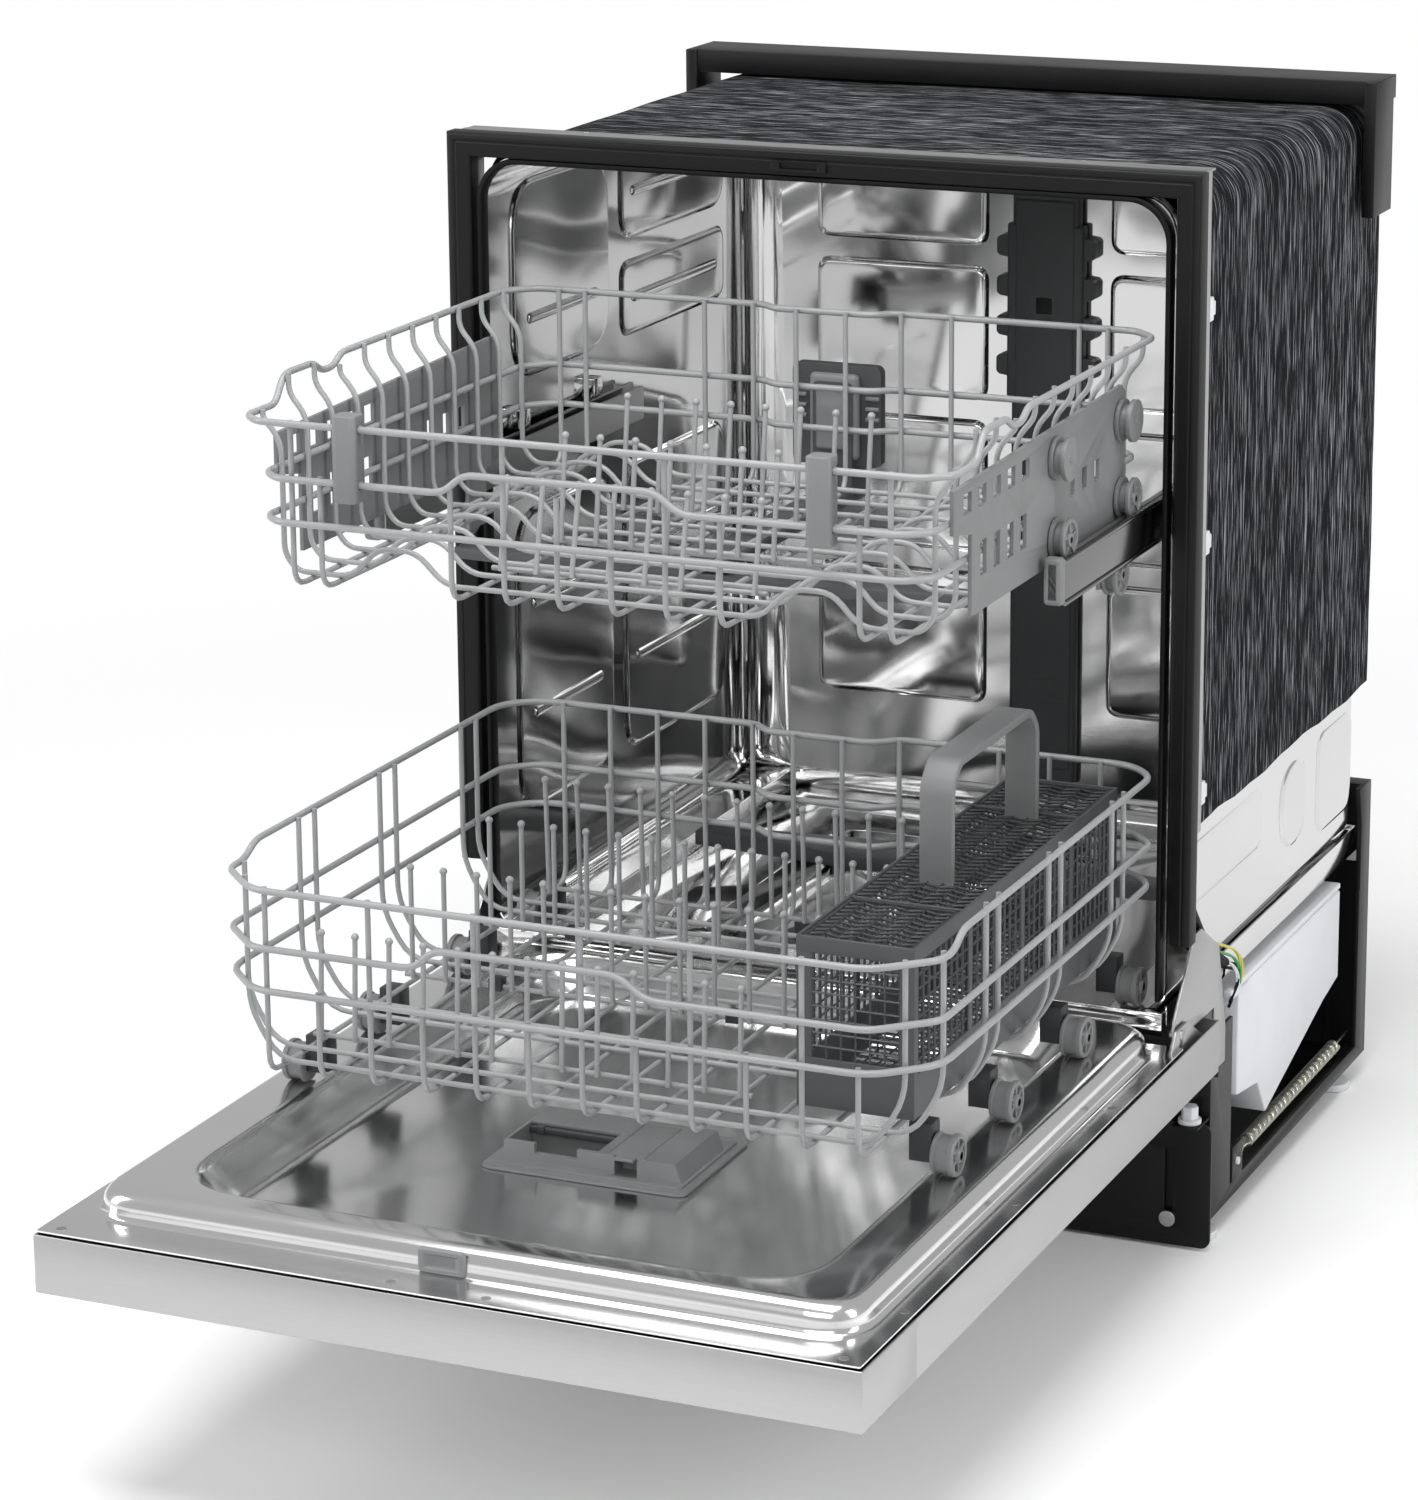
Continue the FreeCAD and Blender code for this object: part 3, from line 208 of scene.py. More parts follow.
GREEN = moulded("green_lead", (0.02, 0.26, 0.06), 0.4, 0.1)
FELT = felt_finish("felt", (0, 1, 0))
FELT_REAR = felt_finish("felt_rear", (1, 0, 0))
SPRING = coil_wire()


# ---- tools -----------------------------------------------------------------------------------------------
RIM_WIRE, CROSS_WIRE, TINE_WIRE, TINE_TIP = 2.5, 2.0, 1.9, 2.9     # radii of the racks' wires in mm


def pick(piece):
    """Selects this piece alone."""
    bpy.ops.object.select_all(action="DESELECT")
    piece.select_set(True)
    bpy.context.view_layer.objects.active = piece
    return piece


def added(operator, **options):
    """A new primitive, with nothing else selected."""
    bpy.ops.object.select_all(action="DESELECT")
    operator(**options)
    return bpy.context.object


def modified(piece, kind, **settings):
    pick(piece)
    made = piece.modifiers.new(kind.lower(), kind)
    for key, value in settings.items():
        setattr(made, key, value)
    bpy.ops.object.modifier_apply(modifier=made.name)
    return piece


def set_down(piece):
    """Puts the piece's place and turn into its mesh."""
    pick(piece)
    bpy.ops.object.transform_apply(location=True, rotation=True, scale=True)
    return piece


def joined(pieces):
    pick(pieces[0])
    for piece in pieces[1:]:
        piece.select_set(True)
    if len(pieces) > 1:
        bpy.ops.object.join()
    return bpy.context.object


def copied(piece, offset=(0, 0, 0), turn=0.0, about=(0, 0, 0)):
    """A copy with its own mesh, turned about the Z axis through a point and then moved."""
    twin = piece.copy()
    twin.data = piece.data.copy()
    bpy.context.scene.collection.objects.link(twin)
    about = Vector(about)
    twin.data.transform(Matrix.Translation(Vector(offset) + about) @ Matrix.Rotation(turn, 4, "Z")
                        @ Matrix.Translation(-about))
    return twin


def outward(piece):
    """Merges doubles, then turns the faces outwards."""
    pick(piece)
    bpy.ops.object.mode_set(mode="EDIT")
    bpy.ops.mesh.select_all(action="SELECT")
    bpy.ops.mesh.remove_doubles(threshold=1e-6)
    bpy.ops.mesh.normals_make_consistent(inside=False)
    bpy.ops.object.mode_set(mode="OBJECT")
    return piece


def smooth(piece, angle=40):
    pick(piece)
    bpy.ops.object.shade_smooth_by_angle(angle=math.radians(angle))
    return piece


def done(piece, name, body, finish, replaces=()):
    """Names a finished piece, gives it its finish, and makes it ride on its body in place of CAD nodes."""
    piece.name = piece.data.name = name
    if finish is not None:
        piece.data.materials.clear()
        piece.data.materials.append(finish)
    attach(piece, body)
    if replaces:
        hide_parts(*replaces)
    return piece


def draw(lines, closed=False):
    """A curve through each list of points."""
    pen = added(bpy.ops.curve.primitive_bezier_curve_add)
    pen.data.splines.clear()
    pen.data.dimensions = "3D"
    for line in lines:
        run = pen.data.splines.new("POLY")
        run.points.add(len(line) - 1)
        for point, place in zip(run.points, line):
            point.co = (*place, 1.0)
        run.use_cyclic_u = closed
    return pen


def bent(points, bend, closed=False, steps=4):
    """The points in mm of a wire, in metres, with a round bend in place of each corner."""
    pts = [mm(*p) for p in points]
    bend *= 0.001
    out = []
    count = len(pts)
    for i, here in enumerate(pts):
        if not closed and i in (0, count - 1):
            out.append(here)
            continue
        before, after = pts[i - 1], pts[(i + 1) % count]
        a, b = before - here, after - here
        cut = min(bend, a.length * 0.48, b.length * 0.48)
        start, end = here + a.normalized() * cut, here + b.normalized() * cut
        for k in range(steps + 1):
            t = k / steps
            out.append(start * (1 - t) ** 2 + here * 2 * t * (1 - t) + end * t ** 2)
    return out


def wires(lines, radius, closed=False, sides=3):
    """Round wires along lists of points, radius in mm."""
    pen = draw(lines, closed)
    pen.data.bevel_depth = radius * 0.001
    pen.data.bevel_resolution = sides
    pen.data.use_fill_caps = True
    pick(pen)
    bpy.ops.object.convert(target="MESH")
    made = outward(bpy.context.object)
    return smooth(made, 50)


def balls(places, radius):
    """Round tips at places in mm."""
    first = added(bpy.ops.mesh.primitive_uv_sphere_add, segments=12, ring_count=8, radius=radius * 0.001)
    smooth(first, 60)
    tips = [copied(first, mm(*p)) for p in places]
    bpy.data.objects.remove(first)
    return joined(tips)


def lathe(profile, centre, steps=36):
    """A turned piece: (along X, radius) points in mm spun about the X axis through centre."""
    pen = draw([[mm(a, 0, r) for a, r in profile]])
    pick(pen)
    bpy.ops.object.convert(target="MESH")
    made = bpy.context.object
    modified(made, "SCREW", axis="X", steps=steps, render_steps=steps, use_merge_vertices=True,
             merge_threshold=1e-6)
    made.location = mm(*centre)
    return smooth(outward(set_down(made)), 35)


def lofted(rings, closed=True, fill=True, loop=False):
    """A sheet stretched between outlines in metres that all have the same number of points."""
    count = len(rings[0])
    pen = draw(rings, closed)
    pick(pen)
    bpy.ops.object.convert(target="MESH")
    sheet = bpy.context.object
    pairs = [(i, i + 1) for i in range(len(rings) - 1)] + ([(len(rings) - 1, 0)] if loop else [])
    for first, second in pairs:
        for vertex in sheet.data.vertices:
            vertex.select = vertex.index // count in (first, second)
        bpy.ops.object.mode_set(mode="EDIT")
        bpy.ops.mesh.select_mode(type="VERT")
        bpy.ops.mesh.bridge_edge_loops()
        bpy.ops.mesh.select_all(action="DESELECT")
        bpy.ops.object.mode_set(mode="OBJECT")
    ends = [len(rings) - 1] if fill is True else list(fill or ())
    for end in ends:
        for vertex in sheet.data.vertices:
            vertex.select = vertex.index // count == end
        bpy.ops.object.mode_set(mode="EDIT")
        bpy.ops.mesh.edge_face_add()
        bpy.ops.mesh.select_all(action="DESELECT")
        bpy.ops.object.mode_set(mode="OBJECT")
    return outward(sheet)


def rounded(u0, u1, v0, v1, corner, place):
    """An outline with round corners: its limits and its corner in mm, laid out by place(u, v)."""
    corners = [(u0, v0, 0), (u1, v0, 0), (u1, v1, 0), (u0, v1, 0)]
    return [Vector(place(p.x * 1000, p.y * 1000)) for p in bent(corners, corner, closed=True, steps=7)]


def pressing(u0, u1, v0, v1, corner, rise, place):
    """A shallow pressed panel with soft edges: place(u, v, height) lays it on its wall."""
    rings = []
    for inset, share in ((0, -0.1), (0.7, 0.06), (1.9, 0.38), (3.2, 0.8), (4.4, 0.97), (6.5, 1.0)):
        rings.append(rounded(u0 + inset, u1 - inset, v0 + inset, v1 - inset, max(corner - inset, 1.5),
                             lambda u, v, h=rise * share: place(u, v, h)))
    return smooth(lofted(rings), 60)


def block(x0, x1, y0, y1, z0, z1, bevel=1.0, segments=3):
    """A box between limits in mm with rounded edges."""
    made = added(bpy.ops.mesh.primitive_cube_add, size=1.0, location=mm(x0 + x1, y0 + y1, z0 + z1) / 2)
    made.scale = mm(x1 - x0, y1 - y0, z1 - z0)
    set_down(made)
    if bevel:
        modified(made, "BEVEL", width=bevel * 0.001, segments=segments, limit_method="ANGLE")
    return smooth(made, 35)


def from_cad(node, finish, bevel=0.6, name=None, angle=30, segments=2):
    """The CAD node's own shape, merged and with its sharp edges softened by bevel mm."""
    source = frame["nodes"][node]
    twin = source.copy()
    twin.data = source.data.copy()
    bpy.context.scene.collection.objects.link(twin)
    twin.parent = None
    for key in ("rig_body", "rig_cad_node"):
        del twin[key]
    pick(twin)
    bpy.ops.object.mode_set(mode="EDIT")
    bpy.ops.mesh.select_all(action="SELECT")
    bpy.ops.mesh.remove_doubles(threshold=2e-6)
    bpy.ops.mesh.dissolve_limited(angle_limit=math.radians(0.5), delimit={"NORMAL"})
    bpy.ops.object.mode_set(mode="OBJECT")
    if bevel:
        modified(twin, "BEVEL", width=bevel * 0.001, segments=segments, limit_method="ANGLE",
                 angle_limit=math.radians(angle), harden_normals=False)
    smooth(twin, angle + 5)
    return done(twin, name or node + "_shell", source["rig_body"], finish, [node])


# ---- studio ----------------------------------------------------------------------------------------------
CAMERA_PLACE, CAMERA_TURN = (1.329, -3.196, 1.384), (-23.87, -14.04, -0.47)    # metres; yaw, pitch, roll
CAMERA_LENS, CAMERA_SENSOR = 113.5, 36.0


def studio():
    """The camera, a pale floor that fades out into white, and soft light from four sides."""
    yaw, pitch, roll = (math.radians(a) for a in CAMERA_TURN)
    look = Vector((math.sin(yaw) * math.cos(pitch), math.cos(yaw) * math.cos(pitch), math.sin(pitch)))
    side = look.cross(Vector((0, 0, 1))).normalized()
    up = side.cross(look)
    right, top = side * math.cos(roll) + up * math.sin(roll), up * math.cos(roll) - side * math.sin(roll)
    bpy.ops.object.camera_add()
    camera = bpy.context.object
    turn = Matrix((right, top, -look)).transposed().to_4x4()
    camera.matrix_world = Matrix.Translation(CAMERA_PLACE) @ turn
    camera.data.lens, camera.data.sensor_width = CAMERA_LENS, CAMERA_SENSOR
    camera.data.shift_y = -0.1
    bpy.context.scene.camera = camera

    floor = added(bpy.ops.mesh.primitive_plane_add, size=60.0, location=(0, 0, -0.0005))
    floor.name = "floor"
    pale = Finish("pale_floor", (0.9, 0.9, 0.9), 0.8)
    pale.set("Specular IOR Level", 0.0)
    away = pale.node("ShaderNodeVectorMath", {"operation": "LENGTH"}, pale.place, out=1).above(1.5, 0.9)
    glow = pale.node("ShaderNodeEmission", {}, Color=(1.0, 1.0, 1.0, 1.0), Strength=1.0)
    whole = pale.node("ShaderNodeMixShader", {}, away, Term(pale, pale.shader.outputs[0]), glow)
    pale.tree.links.new(whole.socket, pale.tree.nodes["Material Output"].inputs["Surface"])
    floor.data.materials.append(pale.material)

    world = bpy.data.worlds.new("studio")
    world.use_nodes = True
    bpy.context.scene.world = world
    tree = world.node_tree
    backdrop, output = tree.nodes["Background"], tree.nodes["World Output"]
    backdrop.inputs["Color"].default_value = (1.0, 1.0, 1.0, 1.0)
    room = tree.nodes.new("ShaderNodeBackground")
    room.inputs["Color"].default_value = (1.0, 1.0, 1.0, 1.0)
    room.inputs["Strength"].default_value = 0.5
    seen, either = tree.nodes.new("ShaderNodeLightPath"), tree.nodes.new("ShaderNodeMixShader")
    tree.links.new(seen.outputs["Is Camera Ray"], either.inputs[0])
    tree.links.new(room.outputs[0], either.inputs[1])
    tree.links.new(backdrop.outputs[0], either.inputs[2])
    tree.links.new(either.outputs[0], output.inputs["Surface"])

    for name, place, size, power, aim in (
            ("top_box", (0.0, -0.9, 3.0), (2.4, 1.6), 82, (0.0, -0.1, 0.3)),
            ("right_box", (3.2, -0.4, 1.7), (0.9, 2.4), 46, (0.2, 0.0, 0.4)),
            ("left_box", (-2.8, -1.6, 1.5), (0.8, 2.2), 36, (0.0, 0.0, 0.4)),
            ("front_box", (0.7, -4.2, 2.6), (3.2, 2.0), 52, (0.0, 0.2, 0.5))):
        bpy.ops.object.light_add(type="AREA", location=place)
        lamp = bpy.context.object
        lamp.name, lamp.data.shape = name, "RECTANGLE"
        lamp.data.size, lamp.data.size_y = size
        lamp.data.energy = power
        lamp.rotation_euler = (Vector(aim) - Vector(place)).to_track_quat("-Z", "Y").to_euler()
    bpy.context.scene.view_settings.view_transform = "Standard"


# ---- lower rack ------------------------------------------------------------------------------------------
def mirrored(half):
    """A half path on the right, joined to its mirror image on the left."""
    other = [(-x, y, z) for x, y, z in reversed(half)]
    return half + other


LOW_X, LOW_Y0, LOW_Y1 = 268.5, -462.0, 30.0
LOW_RIM, LOW_SIDE, LOW_MID, LOW_LOW, LOW_FLOOR = 397.0, 407.0, 355.0, 324.0, 266.0
LAP = 4.6       # how far inside a rim the cross wires run


def lower_rack():
    """The wide rack: three rims, cross wires with round corners, and its fixed and folding tines."""
    x, y0, y1 = LOW_X, LOW_Y0, LOW_Y1
    rims = []
    for z, lift, side in ((LOW_RIM, 0, LOW_SIDE), (LOW_MID, 15, LOW_MID), (LOW_LOW, 0, LOW_LOW)):
        right = [(x - 38, y0, z), (x, y0 + 38, z)]
        if side != z:
            right += [(x, y0 + 60, z), (x, y0 + 76, side)]
        right += [(x, y1 - 24, side), (x - 24, y1, side), (58, y1, side), (44, y1 - 16, side)]
        loop = mirrored(right)
        if lift:
            loop += [(-104, y0, z), (-90, y0, z + lift), (50, y0, z + lift), (70, y0, z)]
        rims.append(bent(loop, 16 if not lift else 10, closed=True))
    rim = wires(rims, RIM_WIRE, closed=True)
    lines, floor = [], LOW_FLOOR
    for y in (-438, -410, -330, -306, -205, -180, -70, -44):
        reach = x - LAP - (16.2 if y < y0 + 38 else 0)
        top = (LOW_RIM if y < y0 + 62 else LOW_SIDE) + 1.5
        lines.append(bent([(-reach, y, top), (-reach, y, 302), (22 - reach, y, floor), (reach - 22, y, floor),
                           (reach, y, 302), (reach, y, top)], 16))
    under = floor - 4.1
    for i in range(12):
        xl = -222 + 444 * i / 11
        back = y1 - LAP - (16 if abs(xl) < 44 else 0)
        head = LOW_RIM + 1.5 if i % 2 == 0 else LOW_LOW + 2.5
        lines.append(bent([(xl, y0 + LAP, head), (xl, y0 + LAP, under), (xl, back, under),
                           (xl, back, LOW_SIDE + 1.5)], 16))
    frame_wires = wires(lines, CROSS_WIRE)
    tines = [tine_row(270.4, -214, 110, 13, 76, 4, -392), tine_row(270.4, -214, 110, 13, 90, -4, -18)]
    done(joined([rim, frame_wires] + tines), "lower_rack_wires", "lower_rack", WIRE, ["lower_rack_frame"])
    for where, y in (("middle", -250), ("rear", -120)):
        row = tine_row(271.0, -214, 110, 13, 84, 0, y)
        done(row, f"folding_tines_{where}", f"fold_tines_{where}", WIRE, [f"fold_tines_{where}"])


def tine_row(z, first, last, count, height, lean, bar_y):
    """A bar along X with ball-tipped tines standing on it."""
    y = bar_y - 3.85
    xs = [first + (last - first) * i / (count - 1) for i in range(count)]
    lines = [bent([(first - 8, bar_y, z), (last + 8, bar_y, z)], 1)]
    lines += [bent([(tx, y, z - 1), (tx, y + lean, z + height)], 1) for tx in xs]
    rods = wires(lines, TINE_WIRE)
    tips = balls([(tx, y + lean, z + height) for tx in xs], TINE_TIP)
    return joined([rods, tips])


def rack_wheels():
    """Grey wheels with a dished outer face, a hub cap and spokes."""
    profile = [(241.5, 4.2), (241.5, 14.2), (242.3, 15.0), (244.0, 15.0), (244.6, 13.4), (253.4, 13.4),
               (254.0, 15.0), (257.0, 15.0), (257.9, 14.2), (257.9, 11.6), (255.4, 10.9), (255.4, 6.0),
               (258.4, 5.2), (259.6, 4.0), (259.6, 0.02)]
    for i, y in enumerate((-363.0, -249.0, -102.0, 22.0), 1):
        z = 237.3
        wheel = lathe(profile, (0, y, z))
        spokes = []
        for k in range(6):
            rib = block(255.2, 257.6, -1.1, 1.1, 5.0, 11.8, 0.4, 2)
            rib.rotation_euler.x = k * math.pi / 3
            rib.location = mm(0, y, z)
            spokes.append(set_down(rib))
        right = joined([wheel] + spokes)
        left = copied(right, turn=math.pi, about=mm(0, y, z))
        done(joined([right, left]), f"rack_wheels_{i}", f"lower_wheels_{i}", MID_GREY, [f"lower_wheels_{i}"])


def basket():
    """The cutlery basket: lattice walls in a smooth frame, a patterned top and a broad arched handle."""
    x0, x1, y0, y1, z0, z1 = 153.0, 239.0, -399.0, 16.0, 271.5, 393.0
    sill, head = 303.0, 381.0
    posts = (y0, -296.5, -192.0, -89.0, y1 - 9)
    parts = []
    for x in (x0, x1 - 2.2):
        parts.append(block(x, x + 2.2, y0, y1, head, z1, 0.7))
        parts.append(block(x, x + 2.2, y0, y1, z0, sill, 0.7))
        parts += [block(x + 0.15, x + 2.05, y + 0.2, y + 8.8, z0 + 0.3, z1 - 0.3, 0.5) for y in posts]
        for a, b in zip(posts, posts[1:]):
            parts.append(lattice((x + 1.1, a + 8, sill - 1), (x + 1.1, b + 1, head + 1), 9, 8))
    for y in (y0, y1 - 2.2):
        parts.append(block(x0 + 0.4, x1 - 0.4, y + 0.1, y + 2.1, head + 0.2, z1 - 0.1, 0.6))
        parts.append(block(x0 + 0.4, x1 - 0.4, y + 0.1, y + 2.1, z0 + 0.1, sill + 4, 0.6))
        parts += [block(x, x + 11, y + 0.25, y + 1.95, z0 + 0.5, z1 - 0.5, 0.5) for x in (x0 + 0.6, x1 - 11.6)]
        parts.append(lattice((x0 + 11, y + 1.1, sill + 3), (x1 - 11, y + 1.1, head + 1), 6, 8))
    for y in (-296.0, -152.0, -72.0):
        parts.append(lattice((x0 + 2, y, z0 + 2), (x1 - 2, y, head + 6), 5, 7))
    parts.append(lattice((x0 + 1, y0 + 1, z0 + 1.1), (x1 - 1, y1 - 1, z0 + 1.1), 8, 40))
    parts += [block(x0 + 1, x1 - 1, y, y + 3, 389.2, 392.4, 0.7) for y in (-305, -66)]
    done(joined(parts), "cutlery_basket", "basket", GREY, ["basket_body"])
    top = [lattice((x0 + 2.2, -303, 390.4), (x1 - 2.2, -65, 390.4), 7, 26, skew=True)]
    done(joined(top), "basket_top_grid", "basket", DARK)
    done(arched_handle(), "basket_handle", "basket", MID_GREY)
    for node, a, b in (("basket_lid_front", y0 + 2.6, -306.0), ("basket_lid_rear", -62.0, y1 - 2.6)):
        lid = lattice((x0 + 3.4, a + 1, 390.4), (x1 - 3.4, b - 1, 390.4), 7, int((b - a) / 9), skew=True)
        edges = [block(x0 + 2.6, x1 - 2.6, y, y + 3, 389.2, 392, 0.6) for y in (a, b - 3)]
        edges += [block(x, x + 3, a, b, 389.2, 392, 0.6) for x in (x0 + 2.6, x1 - 5.6)]
        done(joined([lid] + edges), node + "_grid", node, DARK, [node])


def lattice(low, high, across, down, skew=False):
    """A moulded grid, flat in the plane that low and high share, with a number of cells each way."""
    size = mm(*high) - mm(*low)
    centre = (mm(*high) + mm(*low)) / 2
    made = added(bpy.ops.mesh.primitive_grid_add, x_subdivisions=across, y_subdivisions=down, size=1.0)
    if abs(size.x) < 1e-6:
        made.rotation_euler = (math.radians(90), 0, math.radians(90))
        made.scale = (size.y, size.z, 1)
    elif abs(size.y) < 1e-6:
        made.rotation_euler.x = math.radians(90)
        made.scale = (size.x, size.z, 1)
    else:
        made.scale = (size.x, size.y, 1)
    made.location = centre
    set_down(made)
    if skew:
        step = size.y / down * 0.5
        for v in made.data.vertices:
            column = round((v.co.x - centre.x + size.x / 2) / (size.x / across))
            inside = abs(v.co.y - centre.y) < size.y / 2 - 1e-5
            v.co.y += (step if column % 2 else 0.0) if inside else 0.0
    return modified(made, "WIREFRAME", thickness=0.0022, use_even_offset=False, use_replace=True)


def arched_handle():
    """The broad flat arch over the basket."""
    xm, top = 196.0, 478.0
    legs = [(-246.0, 386.0), (-246.0, top - 19), (-232.0, top - 3.6), (-88.0, top - 3.6), (-74.0, top - 19),
            (-74.0, 386.0)]
    pen = draw([bent([(xm, y, z) for y, z in legs], 7)])
    pick(pen)
    bpy.ops.object.convert(target="MESH")
    strap = bpy.context.object
    bpy.ops.object.mode_set(mode="EDIT")
    bpy.ops.mesh.select_all(action="SELECT")
    bpy.ops.mesh.extrude_region_move(TRANSFORM_OT_translate={"value": (0.025, 0, 0)})
    bpy.ops.mesh.select_all(action="SELECT")
    bpy.ops.transform.translate(value=(-0.0125, 0, 0))
    bpy.ops.mesh.normals_make_consistent(inside=False)
    bpy.ops.object.mode_set(mode="OBJECT")
    modified(strap, "SOLIDIFY", thickness=0.0062, offset=0.0)
    modified(strap, "BEVEL", width=0.0014, segments=3, limit_method="ANGLE", angle_limit=math.radians(50))
    return smooth(strap, 40)


# ---- upper rack ------------------------------------------------------------------------------------------
def upper_rack():
    """The shallow rack with a stepped rim and wavy sides, and three rows of tines."""
    x, xi, y0, y1 = 262.0, 248.0, -405.0, 34.0
    rim, side, mid, low, floor = 716.0, 735.0, 677.0, 646.0, 604.0
    right = [(x - 16, y0, rim), (x, y0 + 16, rim), (x, y0 + 42, rim), (x, y0 + 56, rim), (x, y0 + 70, side),
             (x, -292, side), (x, -280, side - 8), (x, -262, side - 8), (x, -250, side), (x, y1 - 20, side),
             (x - 20, y1, side), (52, y1, side), (40, y1 - 12, side)]
    rims = [bent(mirrored(right), 8, closed=True)]
    for z, lift in ((mid, 14), (low, 0)):
        loop = mirrored([(xi - 16, y0, z), (xi, y0 + 16, z), (xi, y1 - 20, z), (xi - 20, y1, z), (52, y1, z),
                         (40, y1 - 12, z)])
        if lift:
            loop += [(-103, y0, z), (-88, y0, z + lift), (55, y0, z + lift), (73, y0, z)]
        rims.append(bent(loop, 9, closed=True))
    parts = [wires(rims, RIM_WIRE, closed=True)]
    lines, inner, outer = [], xi - LAP, x - LAP
    for i in range(11):
        y = -375 + 38 * i
        on_low_rim = y < y0 + 50
        top = rim if on_low_rim else side - (8 if -284 < y < -258 else 0)
        turn = top - 20 if on_low_rim else side - 29
        half = [(118, y, floor), (140, y, floor + 22), (170, y, floor + 22), (190, y, floor),
                (inner - 10, y, floor), (inner, y, floor + 12), (inner, y, turn), (outer, y, turn + 16),
                (outer, y, top + 1.5)]
        lines.append(bent([(-a, b, c) for a, b, c in reversed(half)] + half, 11))
    under = floor - 4.1
    for i, xl in enumerate((-222, -200, -100, -60, -20, 20, 60, 100, 200, 222)):
        back = y1 - LAP - (12 if abs(xl) < 40 else 0)
        head = rim + 1.5 if i % 3 == 0 else mid + 2.5
        lines.append(bent([(xl, y0 + LAP, head), (xl, y0 + LAP, under), (xl, back, under),
                           (xl, back, side + 1.5)], 16))
    parts.append(wires(lines, CROSS_WIRE))
    for bar_y, height, lean in ((-330, 62, 14), (-232, 74, 10), (-126, 82, 10)):
        parts.append(tine_row(floor + 4.3, -96, 96, 8, height, lean, bar_y))
    done(joined(parts), "upper_rack_wires", "upper_rack", WIRE, ["upper_rack_frame"])


SPOOL = [(254.3, 4.0), (254.3, 14.9), (254.9, 15.5), (256.8, 15.5), (257.3, 14.6), (257.5, 11.4), (262.5, 11.4),
         (262.7, 14.6), (263.2, 15.5), (265.4, 15.5), (266.1, 14.8), (266.1, 12.2), (264.4, 11.4), (264.4, 5.6),
         (266.3, 4.8), (266.6, 3.6), (266.6, 0.02)]


def coupling():
    """The rounded mouth of the rack's pipe, with its stepped cap and side ribs."""
    parts = [block(-20, 20, 41.5, 49.5, 618, 684, 7, 4), block(-13, 13, 36.5, 43, 626, 676, 5.5, 4)]
    for side in (1, -1):
        limits = sorted((side * 24, side * 35))
        parts += [block(*limits, 46.5, 49.5, z, z + 3, 0.9) for z in (640, 648, 656, 664)]
    done(joined(parts), "pipe_coupling", "upper_rack", PALE_GREY)


def spool(y, z):
    """A grooved roller with spokes on each side of the rack, both turned from the same profile."""
    right = lathe(SPOOL, (0, y, z), 32)
    ribs = []
    for k in range(5):
        rib = block(264.2, 265.6, -1.0, 1.0, 4.6, 12.2, 0.3, 2)
        rib.rotation_euler.x = k * 2 * math.pi / 5
        rib.location = mm(0, y, z)
        ribs.append(set_down(rib))
    right = joined([right] + ribs)
    return [right, copied(right, turn=math.pi, about=mm(0, y, z))]


def rollers():
    """The rollers that the rails run in, and the height plates that carry them."""
    for node, y, z in (("rail_rollers_front", -172.0, 625.72), ("rail_rollers_rear", -33.0, 625.72),
                       ("keeper_rollers", -59.0, 575.28)):
        done(joined(spool(y, z)), node + "_turned", node, MID_GREY, [node])
    from_cad("height_plates", MID_GREY, 0.5, name="height_plates_moulded")


def rails():
    """Each rail: the bar in the rollers' grooves, its outer strip with rolled edges in steel darkened as
    painted shade, and the end cap.
    """
    bars, strips, caps = [], [], []
    for side in (1, -1):
        def across(a, b):
            return sorted((side * a, side * b))
        bars += [block(*across(257.8, 262.2), -196, 262, 586.7, 614.3, 1.2),
                 block(*across(261.8, 268), -196, 262, 594, 607, 0.6)]
        strips += [block(*across(267.2, 269.6), -196, 262, 584.2, 617, 0.8),
                   block(*across(267.4, 271.2), -196, 262, 584, 587.4, 1.2),
                   block(*across(267.4, 271.2), -196, 262, 613.6, 617, 1.2)]
        caps += [block(*across(257.5, 271.6), -206, -196.1, 585.7, 620, 3.4, 4),
                 block(*across(260.5, 268.6), -206.0, -203.0, 589, 616.6, 1.2)]
    done(joined(bars), "upper_rail_bars", "upper_rails", STEEL_PLATE, ["upper_rails"])
    # the outer strips take the darkened steel, which is painted shade
    done(joined(strips), "upper_rail_strips", "upper_rails", SHADED_RAIL_STEEL)
    done(joined(caps), "upper_rail_caps", "upper_rails", MID_GREY)


